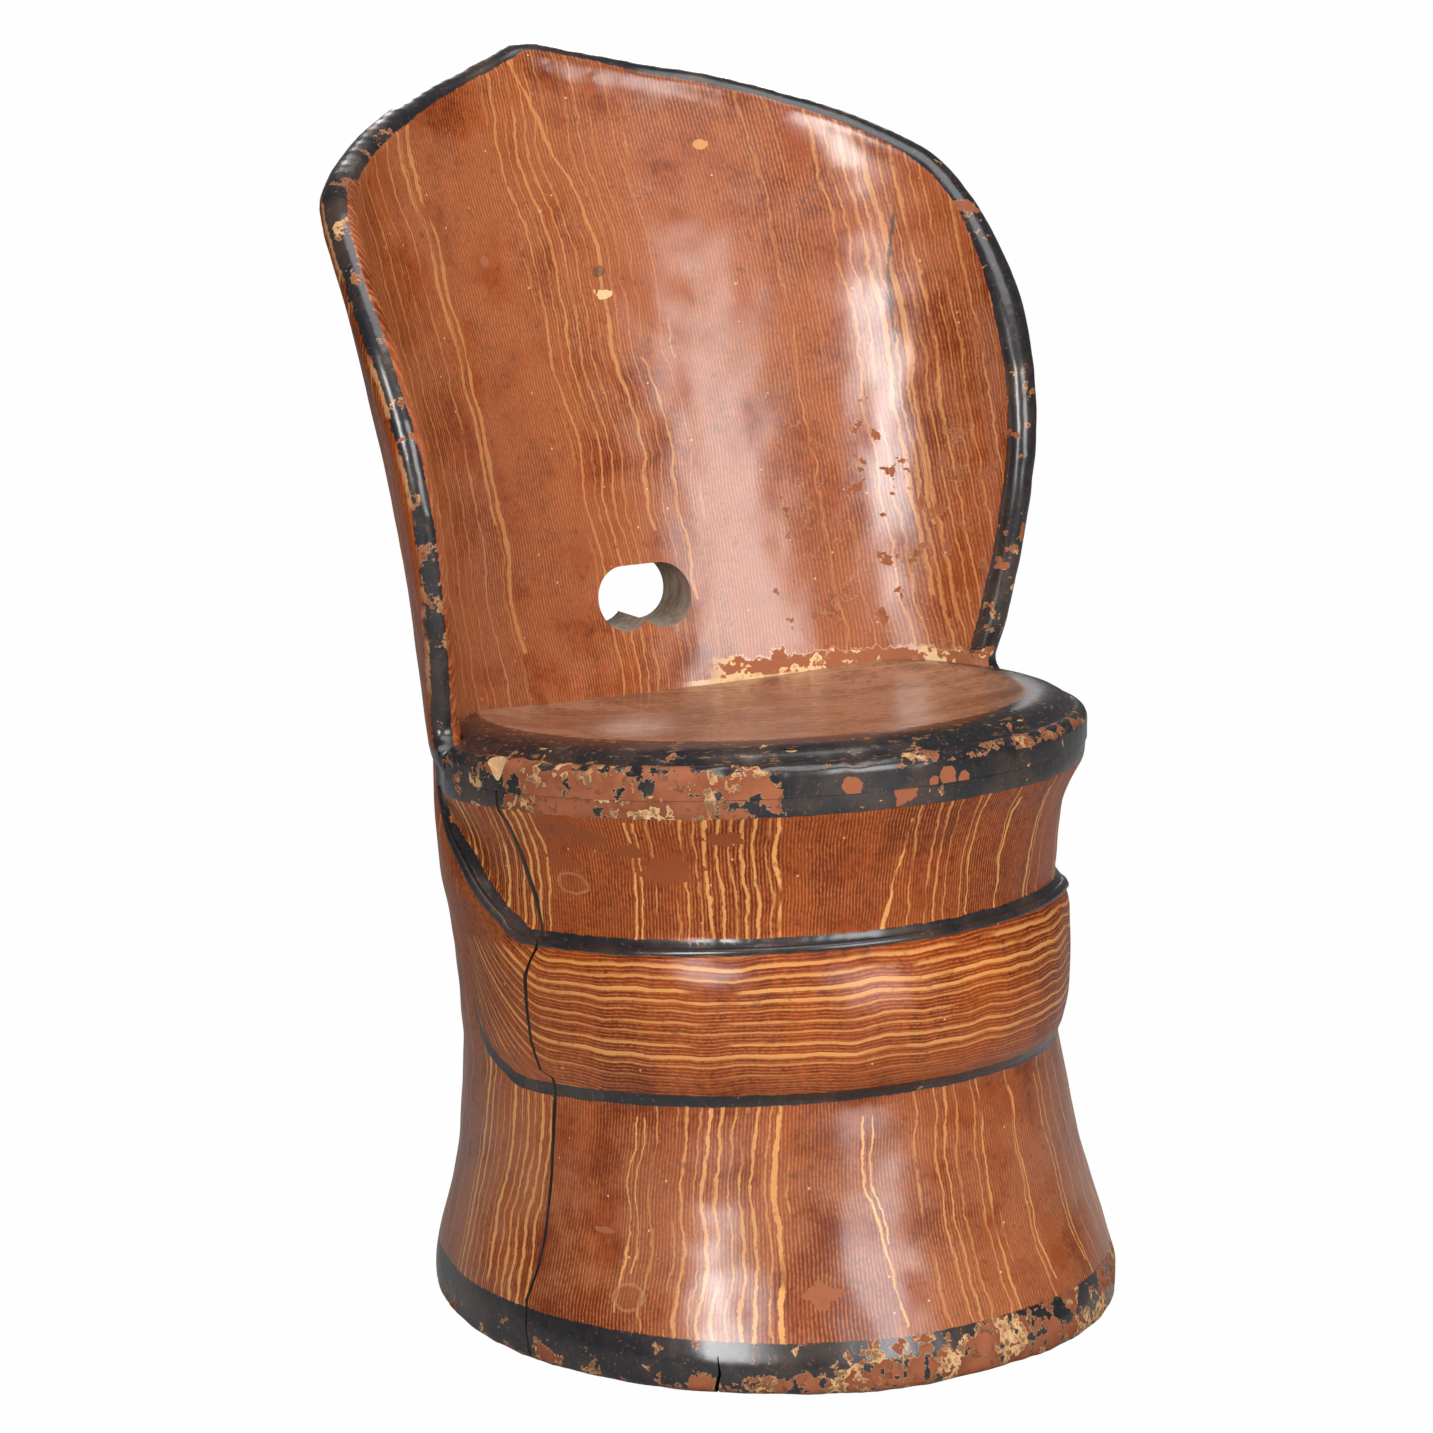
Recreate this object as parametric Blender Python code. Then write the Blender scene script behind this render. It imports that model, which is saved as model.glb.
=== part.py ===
# Tree trunk chair: a hollowed log with a leaning back, a let-in seat board and its pegs.
# Metres, +Z up. The chair faces -Y and stands on the floor at z = 0. It is modelled about the
# middle of its foot, and an empty then moves it so that the origin lies under its own middle.
import bpy
import bmesh
from math import acos, cos, pi, radians, sin, tan
from mathutils import Euler, Quaternion, Vector

for old in list(bpy.data.objects):
    bpy.data.objects.remove(old, do_unlink=True)

# Driving sizes of the log
FOOT_RADIUS = 0.235
CHAIR_HEIGHT = 0.850
SEAT_TILT = radians(4.0)
FOOT_WALL = 0.038
FOOT_CHAMFER = 0.004
BACK_WALL_AT_SEAT = 0.044
BACK_WALL_AT_TOP = 0.024
WING_WALL_AT_SEAT = 0.018
WING_WALL_AT_TOP = 0.025
BEAD_AT_SEAT = 0.020
BEAD_AT_TOP = 0.0265

# Driving sizes of the seat
BOARD_BOTTOM = 0.378
BOARD_EDGE = 0.022
LIP_RISE = 0.011
RIM_RADIUS = 0.229
RIM_BAND = 0.012
RIM_MIDDLE = 0.035
RIM_REAR = 0.190
ARRIS_ROUND = 0.009
LIP_WIDTH = 0.045
LIP_BULGE = 0.8
DISH_DEPTH = 0.012
SHOULDER = 0.056

# Driving sizes of the hand hole and the pegs
BORE = 0.045
BORE_PITCH = 0.031
BORE_ABOVE_LIP = 0.0445
PEG_DIAMETER = 0.012
PEG_LENGTH = 0.044
PEG_CHAMFER = 0.001
LEDGE_PEG_SIDE = 0.075
LEDGE_PEG_BACK = 0.143

# Clearances and allowances
FIT_GAP = 0.0003
PEG_SINK = 0.0025
LEDGE_WIDTH = 0.032
SIDE_LEDGE = 0.0514
FRONT_LEDGE = 0.044
BEAD_TRIM = 0.001
OVERRUN = 0.050
TILT_FADE = 0.045

# Mesh density
ROUND_STEPS = 60
ROW_SPACING = 0.022
BEAD_SIDES = 10
GIRDLE_ROUND_ROWS = 3
BORE_STEPS = 20
PEG_SIDES = 20
ARRIS_STEPS = 4
EDGE_PIECES = 2

SLOPE = tan(SEAT_TILT)
REACH = 2 * FOOT_RADIUS
ARRIS_LEVEL = BOARD_BOTTOM + BOARD_EDGE
LIP_LEVEL = ARRIS_LEVEL + LIP_RISE
BORE_LEVEL = LIP_LEVEL + BORE_ABOVE_LIP
HOLLOW_START = BOARD_BOTTOM - OVERRUN
HOLLOW_END = CHAIR_HEIGHT + OVERRUN

# Rows of height, half width, widest place, rear, front and tilt.
# Heights are shares of the chair height, plan sizes shares of the foot radius. If the sizes change,
# the heights under the board follow the board's bottom, and those over it what is left above.
BOARD_SHARE = 0.4447
BASE_SHARES = (
    (0.0235, 1.000, 0.022, 1.045, -1.008, 0.0),
    (0.053, 0.979, 0.038, 1.015, -0.955, 0.1),
    (0.088, 0.941, 0.051, 0.991, -0.889, 0.3),
    (0.124, 0.910, 0.065, 0.977, -0.845, 0.5),
    (0.165, 0.892, 0.088, 0.975, -0.802, 0.8),
    (0.207, 0.876, 0.114, 0.975, -0.765, 1.0),
    (0.235, 0.871, 0.121, 0.970, -0.755, 1.0),
    (0.282, 0.847, 0.123, 0.945, -0.732, 1.0),
)
GIRDLE_SHARES = (
    (0.194, 0.849, 0.115, 0.945, -0.706, 1.0),
    (0.207, 0.870, 0.109, 0.970, -0.787, 1.0),
    (0.218, 0.878, 0.106, 0.976, -0.819, 1.0),
    (0.235, 0.886, 0.100, 0.980, -0.838, 1.0),
    (0.265, 0.894, 0.098, 0.978, -0.840, 1.0),
    (0.288, 0.903, 0.102, 0.973, -0.822, 1.0),
    (0.308, 0.914, 0.115, 0.966, -0.792, 1.0),
    (0.329, 0.926, 0.128, 0.957, -0.756, 1.0),
    (0.353, 0.951, 0.140, 0.943, -0.750, 1.0),
    (0.388, 0.967, 0.155, 0.918, -0.750, 0.8),
    (0.424, 0.978, 0.170, 0.892, -0.770, 0.4),
)
CAVITY_SHARES = (
    (0.118, 0.750, 0.068, 0.810, -0.680, 0.5),
    (0.207, 0.706, 0.115, 0.796, -0.596, 1.0),
    (0.353, 0.715, 0.140, 0.766, -0.580, 1.0),
)

# Rows of height, half width, widest place and middle of the rear wall, in the same shares
BACK_SHARES = (
    (0.447, 0.943, 0.170, 0.788),
    (0.471, 0.952, 0.170, 0.805),
    (0.535, 0.972, 0.170, 0.862),
    (0.612, 1.006, 0.179, 0.920),
    (0.706, 1.049, 0.213, 1.006),
    (0.824, 1.106, 0.323, 1.140),
    (0.882, 1.132, 0.391, 1.223),
    (0.941, 1.128, 0.426, 1.310),
    (1.030, 1.110, 0.450, 1.417),
)

# Rows of height and radius of the drum under the rim, in the same shares
DRUM_SHARES = (
    (0.308, 0.874),
    (0.329, 0.880),
    (0.348, 0.889),
    (0.365, 0.895),
    (0.382, 0.903),
    (0.398, 0.915),
    (0.414, 0.938),
    (0.424, 0.957),
)

# The edge of the back from the foot of a wing to the peak: degrees from the rear and height share.
# The crown is carved a little lower on the left, so its rows give the right height and the left.
WING_SHARES = (
    (74.0, 0.462),
    (76.0, 0.480),
    (78.0, 0.500),
    (80.5, 0.532),
    (82.5, 0.570),
    (83.8, 0.612),
    (84.5, 0.659),
    (83.5, 0.710),
    (80.0, 0.765),
    (76.0, 0.804),
    (71.0, 0.839),
    (66.0, 0.865),
)
CROWN_SHARES = (
    (60.0, 0.886, 0.883),
    (48.0, 0.911, 0.902),
    (36.0, 0.930, 0.921),
    (24.0, 0.944, 0.941),
    (12.0, 0.956, 0.960),
)
PEAK_ANGLE = -5.0
PEAK_SHARE = 0.975

# The girdle's upper edge, and its sweep up to the wing: places behind the middle and heights
GIRDLE_TOP_SHARE = 0.3265
SWEEP_SHARES = (
    (-0.055, 0.3285),
    (0.060, 0.347),
    (0.170, 0.372),
    (0.310, 0.401),
    (0.380, 0.424),
    (0.410, 0.441),
)

# Rows of radius and depth of the seat dish
DISH_SHARES = (
    (0.35, 1.00),
    (0.60, 0.90),
    (0.80, 0.62),
    (0.92, 0.28),
    (1.00, 0.00),
    (1.08, -0.45),
)
PEG_ANGLES = (-72.0, -25.0, 25.0, 72.0)


def material(name, colour, roughness, metallic):
    mat = bpy.data.materials.new(name)
    mat.use_nodes = True
    shader = mat.node_tree.nodes["Principled BSDF"]
    shader.inputs["Base Color"].default_value = (*colour, 1.0)
    shader.inputs["Roughness"].default_value = roughness
    shader.inputs["Metallic"].default_value = metallic
    mat.diffuse_color = (*colour, 1.0)
    return mat


def add_object(name, bm, mat=None):
    bmesh.ops.recalc_face_normals(bm, faces=bm.faces)
    mesh = bpy.data.meshes.new(name)
    bm.to_mesh(mesh)
    bm.free()
    obj = bpy.data.objects.new(name, mesh)
    bpy.context.scene.collection.objects.link(obj)
    if mat is not None:
        mesh.materials.append(mat)
    return obj


def loft(name, rings, mat=None):
    bm = bmesh.new()
    rows = [[bm.verts.new(point) for point in ring] for ring in rings]
    count = len(rows[0])
    for low, high in zip(rows, rows[1:]):
        for i in range(count):
            j = (i + 1) % count
            bm.faces.new((low[i], low[j], high[j], high[i]))
    bm.faces.new(list(reversed(rows[0])))
    bm.faces.new(rows[-1])
    return add_object(name, bm, mat)


def prism(name, outline, start, end, axis):
    rings = []
    for place in (start, end):
        if axis == "X":
            rings.append([Vector((place, u, v)) for u, v in outline])
        else:
            rings.append([Vector((u, place, v)) for u, v in outline])
    return loft(name, rings)


def hide(cutter):
    cutter.display_type = "WIRE"
    cutter.hide_render = True
    return cutter


def combine(target, tool, operation):
    mod = target.modifiers.new(tool.name, "BOOLEAN")
    mod.operation = operation
    mod.solver = "EXACT"
    mod.object = hide(tool)


def slide(rows, level):
    # Smooth value of every column at a level, with the slope at a row taken from its neighbours
    if level <= rows[0][0]:
        return rows[0][1:]
    if level >= rows[-1][0]:
        return rows[-1][1:]
    k = max(i for i in range(len(rows) - 1) if rows[i][0] <= level)
    low, high = rows[k], rows[k + 1]
    before = rows[k - 1] if k > 0 else low
    after = rows[k + 2] if k + 2 < len(rows) else high
    span = high[0] - low[0]
    t = (level - low[0]) / span
    values = []
    for c in range(1, len(low)):
        start = (high[c] - before[c]) / (high[0] - before[0]) * span
        end = (after[c] - low[c]) / (after[0] - low[0]) * span
        values.append(
            low[c] * (1 + 2 * t) * (1 - t) ** 2
            + start * t * (1 - t) ** 2
            + high[c] * t * t * (3 - 2 * t)
            + end * t * t * (t - 1)
        )
    return values


def level_at(share):
    if share < BOARD_SHARE:
        return BOARD_BOTTOM * share / BOARD_SHARE
    return BOARD_BOTTOM + (CHAIR_HEIGHT - BOARD_BOTTOM) * (share - BOARD_SHARE) / (1 - BOARD_SHARE)


def sized(shares):
    return [
        (level_at(row[0]), *(share * FOOT_RADIUS for share in row[1:5]), *row[5:]) for row in shares
    ]


def levels(first, last):
    count = max(1, round((last - first) / ROW_SPACING))
    return [first + (last - first) * i / count for i in range(count + 1)]


def ring(level, half_width, widest, rear, front, tilt):
    points = []
    for i in range(ROUND_STEPS):
        turn = 2 * pi * (i + 0.5) / ROUND_STEPS
        depth = rear - widest if cos(turn) > 0 else widest - front
        x = half_width * sin(turn)
        y = widest + depth * cos(turn)
        points.append(Vector((x, y, level - SLOPE * tilt * y)))
    return points


def graded(level, at_seat, at_top):
    # A size that changes evenly from the seat to where the back is widest
    low = level_at(BACK_SHARES[0][0])
    high = level_at(BACK_SHARES[-3][0])
    return at_seat + (at_top - at_seat) * min(1, max(0, (level - low) / (high - low)))


def back_row(level, side):
    # Outer surface for side 1, middle of the wall for side 0, inner surface for side -1
    half_width, widest, middle = slide(sized(BACK_SHARES), level)
    half_width += side * graded(level, WING_WALL_AT_SEAT, WING_WALL_AT_TOP) / 2
    rear = middle + side * graded(level, BACK_WALL_AT_SEAT, BACK_WALL_AT_TOP) / 2
    return half_width, widest, rear


def edge_point(angle, share):
    level = level_at(share)
    half_width, widest, middle = back_row(level, 0)
    turn = radians(angle)
    return Vector((half_width * sin(turn), widest + (middle - widest) * cos(turn), level))


def rim_ring(level, radius):
    # The rear of the drum and of the board is set, because it lies inside the wall of the back
    return ring(level, radius, RIM_MIDDLE, RIM_REAR, RIM_MIDDLE - radius, 1)


def lip_middle_level():
    return ARRIS_LEVEL + LIP_BULGE * (LIP_LEVEL - ARRIS_LEVEL)


def rim_rings(bottom):
    # The upright band, the rounded arris and the slope up to the lip
    rings = [rim_ring(bottom, RIM_RADIUS)]
    for k in range(ARRIS_STEPS + 1):
        turn = pi / 2 * k / ARRIS_STEPS
        radius = RIM_RADIUS - ARRIS_ROUND * (1 - cos(turn))
        rings.append(rim_ring(ARRIS_LEVEL - ARRIS_ROUND * (1 - sin(turn)), radius))
    rings.append(rim_ring(lip_middle_level(), RIM_RADIUS - LIP_WIDTH / 2))
    rings.append(rim_ring(LIP_LEVEL, RIM_RADIUS - LIP_WIDTH))
    return rings


def make_log(mat):
    girdle = sized(GIRDLE_SHARES)
    rings = [ring(*row) for row in girdle[:GIRDLE_ROUND_ROWS]]
    smooth = levels(girdle[GIRDLE_ROUND_ROWS][0], girdle[-1][0])
    rings += [ring(level, *slide(girdle, level)) for level in smooth]
    first = level_at(BACK_SHARES[0][0])
    for level in levels(first, level_at(BACK_SHARES[-1][0])):
        half_width, widest, rear = back_row(level, 1)
        tilt = max(0, 1 - (level - first) / TILT_FADE) * girdle[-1][5]
        rings.append(ring(level, half_width, widest, rear, girdle[-1][4], tilt))
    return loft("trunk", rings, mat)


def make_drum():
    rings = []
    for height_share, radius_share in DRUM_SHARES:
        rings.append(rim_ring(level_at(height_share), radius_share * FOOT_RADIUS))
    return loft("drum", rings + rim_rings(BOARD_BOTTOM - RIM_BAND))


def make_base():
    rows = sized(BASE_SHARES)
    widest = rows[0][2]
    rings = []
    for level, inset in ((0, FOOT_CHAMFER), (FOOT_CHAMFER, 0)):
        rings.append(ring(level, rows[0][1] - inset, widest, rows[0][3] - inset, rows[0][4] + inset, 0))
    rings += [ring(level, *slide(rows, level)) for level in levels(rows[0][0], rows[-1][0])]
    return loft("base", rings)


def hollow_rings(first, last, gap):
    # The space between the wings, from a level inside the drum upwards
    rings = []
    for level in levels(first, last):
        half_width, widest, rear = back_row(level, -1)
        rings.append(ring(level, half_width - gap, widest, rear - gap, widest - REACH, 0))
    return rings


def seat_space():
    # One cutter for all that is sawn away above the board's bottom
    top = CHAIR_HEIGHT + 2 * OVERRUN
    floor = level_at(GIRDLE_TOP_SHARE) + OVERRUN / 2
    wing = [edge_point(angle, share) for angle, share in WING_SHARES]
    outline = [(-REACH, floor), (SHOULDER, floor), (SHOULDER, wing[0].z)]
    outline += [(point.y, point.z) for point in wing[1:]]
    outline += [(wing[-1].y, top), (-REACH, top)]
    space = prism("seat_space", outline, -REACH, REACH, "X")
    combine(space, loft("hollow", hollow_rings(HOLLOW_START, HOLLOW_END, 0)), "UNION")
    under = [(-2 * REACH, 0), (2 * REACH, 0)]
    under += [(y, BOARD_BOTTOM - SLOPE * y) for y in (2 * REACH, -2 * REACH)]
    combine(space, prism("under_board", under, -2 * REACH, 2 * REACH, "X"), "DIFFERENCE")
    return space


def half_edge(side, first=0):
    # The middle line of the edge from a row of the wing up to the peak, on one side
    rows = WING_SHARES[first:] + tuple((row[0], row[1 if side > 0 else 2]) for row in CROWN_SHARES)
    points = [edge_point(side * angle, share) for angle, share in rows]
    return points + [edge_point(PEAK_ANGLE, PEAK_SHARE)]


def crown_space():
    # What is sawn away above the crown, seen from the front
    top = CHAIR_HEIGHT + 2 * OVERRUN
    last = len(WING_SHARES) - 1
    low = edge_point(*WING_SHARES[last - 1]).z
    points = half_edge(-1, last) + half_edge(1, last)[-2::-1]
    outline = [(-REACH, top), (-REACH, low)]
    outline += [(point.x, point.z) for point in points]
    outline += [(REACH, low), (REACH, top)]
    return prism("crown_space", outline, 0, 2 * REACH, "Y")


def girdle_space():
    # What is cut back to the drum above the girdle and in front of the sweep
    roof = BOARD_BOTTOM + ARRIS_ROUND
    sweep = [(place * FOOT_RADIUS, level_at(height)) for place, height in SWEEP_SHARES]
    outline = [(-REACH, level_at(GIRDLE_TOP_SHARE) + SLOPE * REACH)] + sweep
    outline += [(sweep[-1][0], roof - SLOPE * sweep[-1][0]), (-REACH, roof + SLOPE * REACH)]
    return prism("girdle_space", outline, -REACH, REACH, "X")


def sweep_bead(name, path, sides):
    # Each ring is the one before it, turned as little as the path bends
    rings = []
    last = (path[1] - path[0]).normalized()
    spoke = last.orthogonal().normalized()
    for i, place in enumerate(path):
        along = (path[min(i + 1, len(path) - 1)] - path[max(i - 1, 0)]).normalized()
        spoke = last.rotation_difference(along) @ spoke
        last = along
        radius = graded(place.z, BEAD_AT_SEAT, BEAD_AT_TOP) / 2
        turns = [2 * pi * k / sides for k in range(sides)]
        rings.append([place + radius * (Quaternion(along, turn) @ spoke) for turn in turns])
    return loft(name, rings)


def smooth_path(points, pieces):
    # Points between the given ones on a smooth curve through them
    path = []
    for k in range(len(points) - 1):
        low, high = points[k], points[k + 1]
        before = points[k - 1] if k > 0 else low
        after = points[k + 2] if k + 2 < len(points) else high
        start, end = (high - before) / 2, (after - low) / 2
        for step in range(pieces):
            t = step / pieces
            path.append(
                low * (1 + 2 * t) * (1 - t) ** 2
                + start * t * (1 - t) ** 2
                + high * t * t * (3 - 2 * t)
                + end * t * t * (t - 1)
            )
    return path + [points[-1]]


def bead_path(side):
    # The edge of one side, begun a little deeper, inside the shoulder
    points = half_edge(side)
    return smooth_path([points[0] - Vector((0, 0, ARRIS_ROUND))] + points, EDGE_PIECES)


def edge_bead():
    # The rounded edge of both wings and the crown
    path = bead_path(-1) + bead_path(1)[-2::-1]
    bead = sweep_bead("edge_bead", path, BEAD_SIDES)
    beside = hollow_rings(HOLLOW_START, LIP_LEVEL, -BEAD_TRIM)
    combine(bead, loft("bead_trim", beside), "DIFFERENCE")
    return bead


def make_cavity():
    # The hollow of the log under the seat, open at the floor
    rows = sized(CAVITY_SHARES)
    foot = sized(BASE_SHARES)[0]
    rear = back_row(BOARD_BOTTOM, -1)[2]
    rings = [
        ring(-OVERRUN, foot[1] - FOOT_WALL, foot[2], foot[3] - FOOT_WALL, foot[4] + FOOT_WALL, 0),
        ring(FOOT_CHAMFER, foot[1] - FOOT_WALL, foot[2], foot[3] - FOOT_WALL, foot[4] + FOOT_WALL, 0),
    ]
    ledge_row = (
        BOARD_BOTTOM,
        RIM_RADIUS - SIDE_LEDGE,
        RIM_MIDDLE,
        rear - LEDGE_WIDTH,
        RIM_MIDDLE - RIM_RADIUS + FRONT_LEDGE,
        1.0,
    )
    rows.append(ledge_row)
    rings += [ring(level, *slide(rows, level)) for level in levels(rows[0][0], rows[-1][0])]
    rings.append(ring(BOARD_BOTTOM + OVERRUN, *ledge_row[1:]))
    return loft("cavity", rings)


def make_hand_hole():
    # Two bores side by side; the cusp between them is cut away above and left below
    middle = BORE_PITCH / 2
    radius = BORE / 2
    first, last = pi / 2, 2 * pi - acos(middle / radius)
    outline = []
    for k in range(BORE_STEPS + 1):
        turn = first + (last - first) * k / BORE_STEPS
        outline.append((-middle + radius * cos(turn), BORE_LEVEL + radius * sin(turn)))
    outline += [(-x, z) for x, z in reversed(outline[:-1])]
    return prism("hand_hole", outline, 0, 2 * REACH, "Y")


def peg_places():
    # Middle of each peg's top on the level of the arris, and how far it is sunk
    places = []
    radius = RIM_RADIUS - LIP_WIDTH / 2
    for angle in PEG_ANGLES:
        x = radius * sin(radians(angle))
        y = RIM_MIDDLE - radius * cos(radians(angle))
        places.append(Vector((x, y, lip_middle_level() - PEG_SINK - SLOPE * y)))
    for x in (-LEDGE_PEG_SIDE, LEDGE_PEG_SIDE):
        y = LEDGE_PEG_BACK
        places.append(Vector((x, y, LIP_LEVEL - DISH_DEPTH - PEG_SINK - SLOPE * y)))
    return places


def peg_solid(name, radius, top, bottom, chamfer, mat=None):
    rows = [(bottom, radius - chamfer), (top, radius - chamfer)]
    if chamfer > 0:
        rows[1:1] = [(bottom + chamfer, radius), (top - chamfer, radius)]
    turns = [2 * pi * k / PEG_SIDES for k in range(PEG_SIDES)]
    rings = [[Vector((r * cos(turn), r * sin(turn), level)) for turn in turns] for level, r in rows]
    return loft(name, rings, mat)


def place_on_seat(obj, place):
    obj.location = place
    obj.rotation_euler = Euler((-SEAT_TILT, 0, 0))


def make_pegs(mat, trunk, board):
    for number, place in enumerate(peg_places(), 1):
        peg = peg_solid(f"seat_peg_{number}", PEG_DIAMETER / 2, 0, -PEG_LENGTH, PEG_CHAMFER, mat)
        place_on_seat(peg, place)
        drill = peg_solid(f"drill_{number}", PEG_DIAMETER / 2 + FIT_GAP, OVERRUN, -PEG_LENGTH - FIT_GAP, 0)
        place_on_seat(drill, place)
        combine(trunk, drill, "DIFFERENCE")
        combine(board, drill, "DIFFERENCE")


def make_dish():
    radius = RIM_RADIUS - LIP_WIDTH
    rings = []
    for radius_share, depth_share in DISH_SHARES:
        level = LIP_LEVEL - depth_share * DISH_DEPTH
        r = radius_share * radius
        rings.append(ring(level, r, RIM_MIDDLE, RIM_MIDDLE + r, RIM_MIDDLE - r, 1))
    return loft("dish", rings)


def make_board(mat):
    board = loft("seat_board", rim_rings(BOARD_BOTTOM + FIT_GAP), mat)
    behind = [(SHOULDER - FIT_GAP, 0), (REACH, 0), (REACH, CHAIR_HEIGHT), (SHOULDER - FIT_GAP, CHAIR_HEIGHT)]
    trim = prism("board_trim", behind, -REACH, REACH, "X")
    combine(trim, loft("board_hollow", hollow_rings(HOLLOW_START, HOLLOW_END, FIT_GAP)), "DIFFERENCE")
    combine(board, trim, "DIFFERENCE")
    combine(board, make_dish(), "DIFFERENCE")
    return board


def stand_over_origin():
    # Half way between the front of the foot and the rear of the crown comes to y = 0
    front = BASE_SHARES[0][4] * FOOT_RADIUS
    rear = edge_point(PEAK_ANGLE, PEAK_SHARE).y + BEAD_AT_TOP / 2
    middle = bpy.data.objects.new("chair_middle", None)
    for obj in list(bpy.data.objects):
        if obj is not middle:
            obj.parent = middle
    middle.location.y = -(front + rear) / 2
    bpy.context.scene.collection.objects.link(middle)


def make_trunk(mat):
    trunk = make_log(mat)
    combine(trunk, girdle_space(), "DIFFERENCE")
    combine(trunk, make_drum(), "UNION")
    combine(trunk, make_base(), "UNION")
    combine(trunk, seat_space(), "DIFFERENCE")
    combine(trunk, crown_space(), "DIFFERENCE")
    combine(trunk, edge_bead(), "UNION")
    combine(trunk, make_cavity(), "DIFFERENCE")
    combine(trunk, make_hand_hole(), "DIFFERENCE")
    return trunk


painted = material("painted_pine", (0.26, 0.085, 0.028), 0.38, 0.0)
seat_paint = material("worn_seat_paint", (0.20, 0.075, 0.035), 0.55, 0.0)
bare_wood = material("peg_wood", (0.42, 0.27, 0.14), 0.7, 0.0)

trunk = make_trunk(painted)
board = make_board(seat_paint)
make_pegs(bare_wood, trunk, board)
stand_over_origin()
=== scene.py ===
import bpy
import numpy as np
from math import acos, atan2, cos, pi, radians, sin, tan
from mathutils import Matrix, Quaternion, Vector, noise
from mathutils.bvhtree import BVHTree


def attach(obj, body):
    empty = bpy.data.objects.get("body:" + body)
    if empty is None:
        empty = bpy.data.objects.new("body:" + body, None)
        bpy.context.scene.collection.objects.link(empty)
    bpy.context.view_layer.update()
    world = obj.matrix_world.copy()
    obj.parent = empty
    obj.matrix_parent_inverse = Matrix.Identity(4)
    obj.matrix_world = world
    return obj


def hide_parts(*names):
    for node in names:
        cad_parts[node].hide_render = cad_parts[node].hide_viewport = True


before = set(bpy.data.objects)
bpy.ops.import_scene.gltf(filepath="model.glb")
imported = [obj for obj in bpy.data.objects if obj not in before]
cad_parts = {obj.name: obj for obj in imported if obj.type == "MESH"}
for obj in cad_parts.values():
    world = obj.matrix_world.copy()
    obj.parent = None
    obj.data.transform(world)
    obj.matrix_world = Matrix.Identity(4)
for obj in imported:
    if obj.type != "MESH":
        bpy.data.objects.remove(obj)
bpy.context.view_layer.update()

# Tree trunk chair, dressed: a painted log chair. The sizes are those of the solids, in metres.

chair = {
    "footRadius": 0.235,
    "height": 0.850,
    "seatTilt": 4.0,   # degrees, front edge up
    "axis": 0.03,   # how far back the line stands that angles round the log are taken from
    "girdleTop": 0.2775,
    "roundSteps": 120,   # points round the log
    "rowStep": 0.009,
    "voxel": 0.0036,
    "smoothing": 5,
    "keepFaces": 0.46,
    "spareRim": 0.008,   # left above the seam, then cut off crisp
    "overcut": 0.05,   # how far a cutting shape reaches past what it cuts
}
slope = tan(radians(chair["seatTilt"]))
reach = 2 * chair["footRadius"]

# height, half width, widest place, rear, front, tilt; as shares of height and foot radius
baseShares = (
    (0.0235, 1.000, 0.022, 1.045, -1.008, 0.0),
    (0.053, 0.979, 0.038, 1.015, -0.955, 0.1),
    (0.088, 0.941, 0.051, 0.991, -0.889, 0.3),
    (0.124, 0.910, 0.065, 0.977, -0.845, 0.5),
    (0.165, 0.892, 0.088, 0.975, -0.802, 0.8),
    (0.207, 0.876, 0.114, 0.975, -0.765, 1.0),
    (0.235, 0.871, 0.121, 0.970, -0.755, 1.0),
    (0.282, 0.847, 0.123, 0.945, -0.732, 1.0),
)
girdleShares = (
    (0.194, 0.849, 0.115, 0.945, -0.706, 1.0),
    (0.207, 0.870, 0.109, 0.970, -0.787, 1.0),
    (0.218, 0.878, 0.106, 0.976, -0.819, 1.0),
    (0.235, 0.886, 0.100, 0.980, -0.838, 1.0),
    (0.265, 0.894, 0.098, 0.978, -0.840, 1.0),
    (0.288, 0.903, 0.102, 0.973, -0.822, 1.0),
    (0.308, 0.914, 0.115, 0.966, -0.792, 1.0),
    (0.329, 0.926, 0.128, 0.957, -0.756, 1.0),
    (0.353, 0.951, 0.140, 0.943, -0.750, 1.0),
    (0.388, 0.967, 0.155, 0.918, -0.750, 0.8),
    (0.424, 0.978, 0.170, 0.892, -0.770, 0.4),
)
hollowShares = (
    (0.118, 0.750, 0.068, 0.810, -0.680, 0.5),
    (0.207, 0.706, 0.115, 0.796, -0.596, 1.0),
    (0.353, 0.715, 0.140, 0.766, -0.580, 1.0),
)
# height, half width, widest place, middle of the rear wall
backShares = (
    (0.447, 0.943, 0.170, 0.788),
    (0.471, 0.952, 0.170, 0.805),
    (0.535, 0.972, 0.170, 0.862),
    (0.612, 1.006, 0.179, 0.920),
    (0.706, 1.049, 0.213, 1.006),
    (0.824, 1.106, 0.323, 1.140),
    (0.882, 1.132, 0.391, 1.223),
    (0.941, 1.128, 0.426, 1.310),
    (1.030, 1.110, 0.450, 1.417),
)
drumShares = (
    (0.308, 0.874), (0.329, 0.880), (0.348, 0.889), (0.365, 0.895),
    (0.382, 0.903), (0.398, 0.915), (0.414, 0.938), (0.424, 0.957),
)
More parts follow.
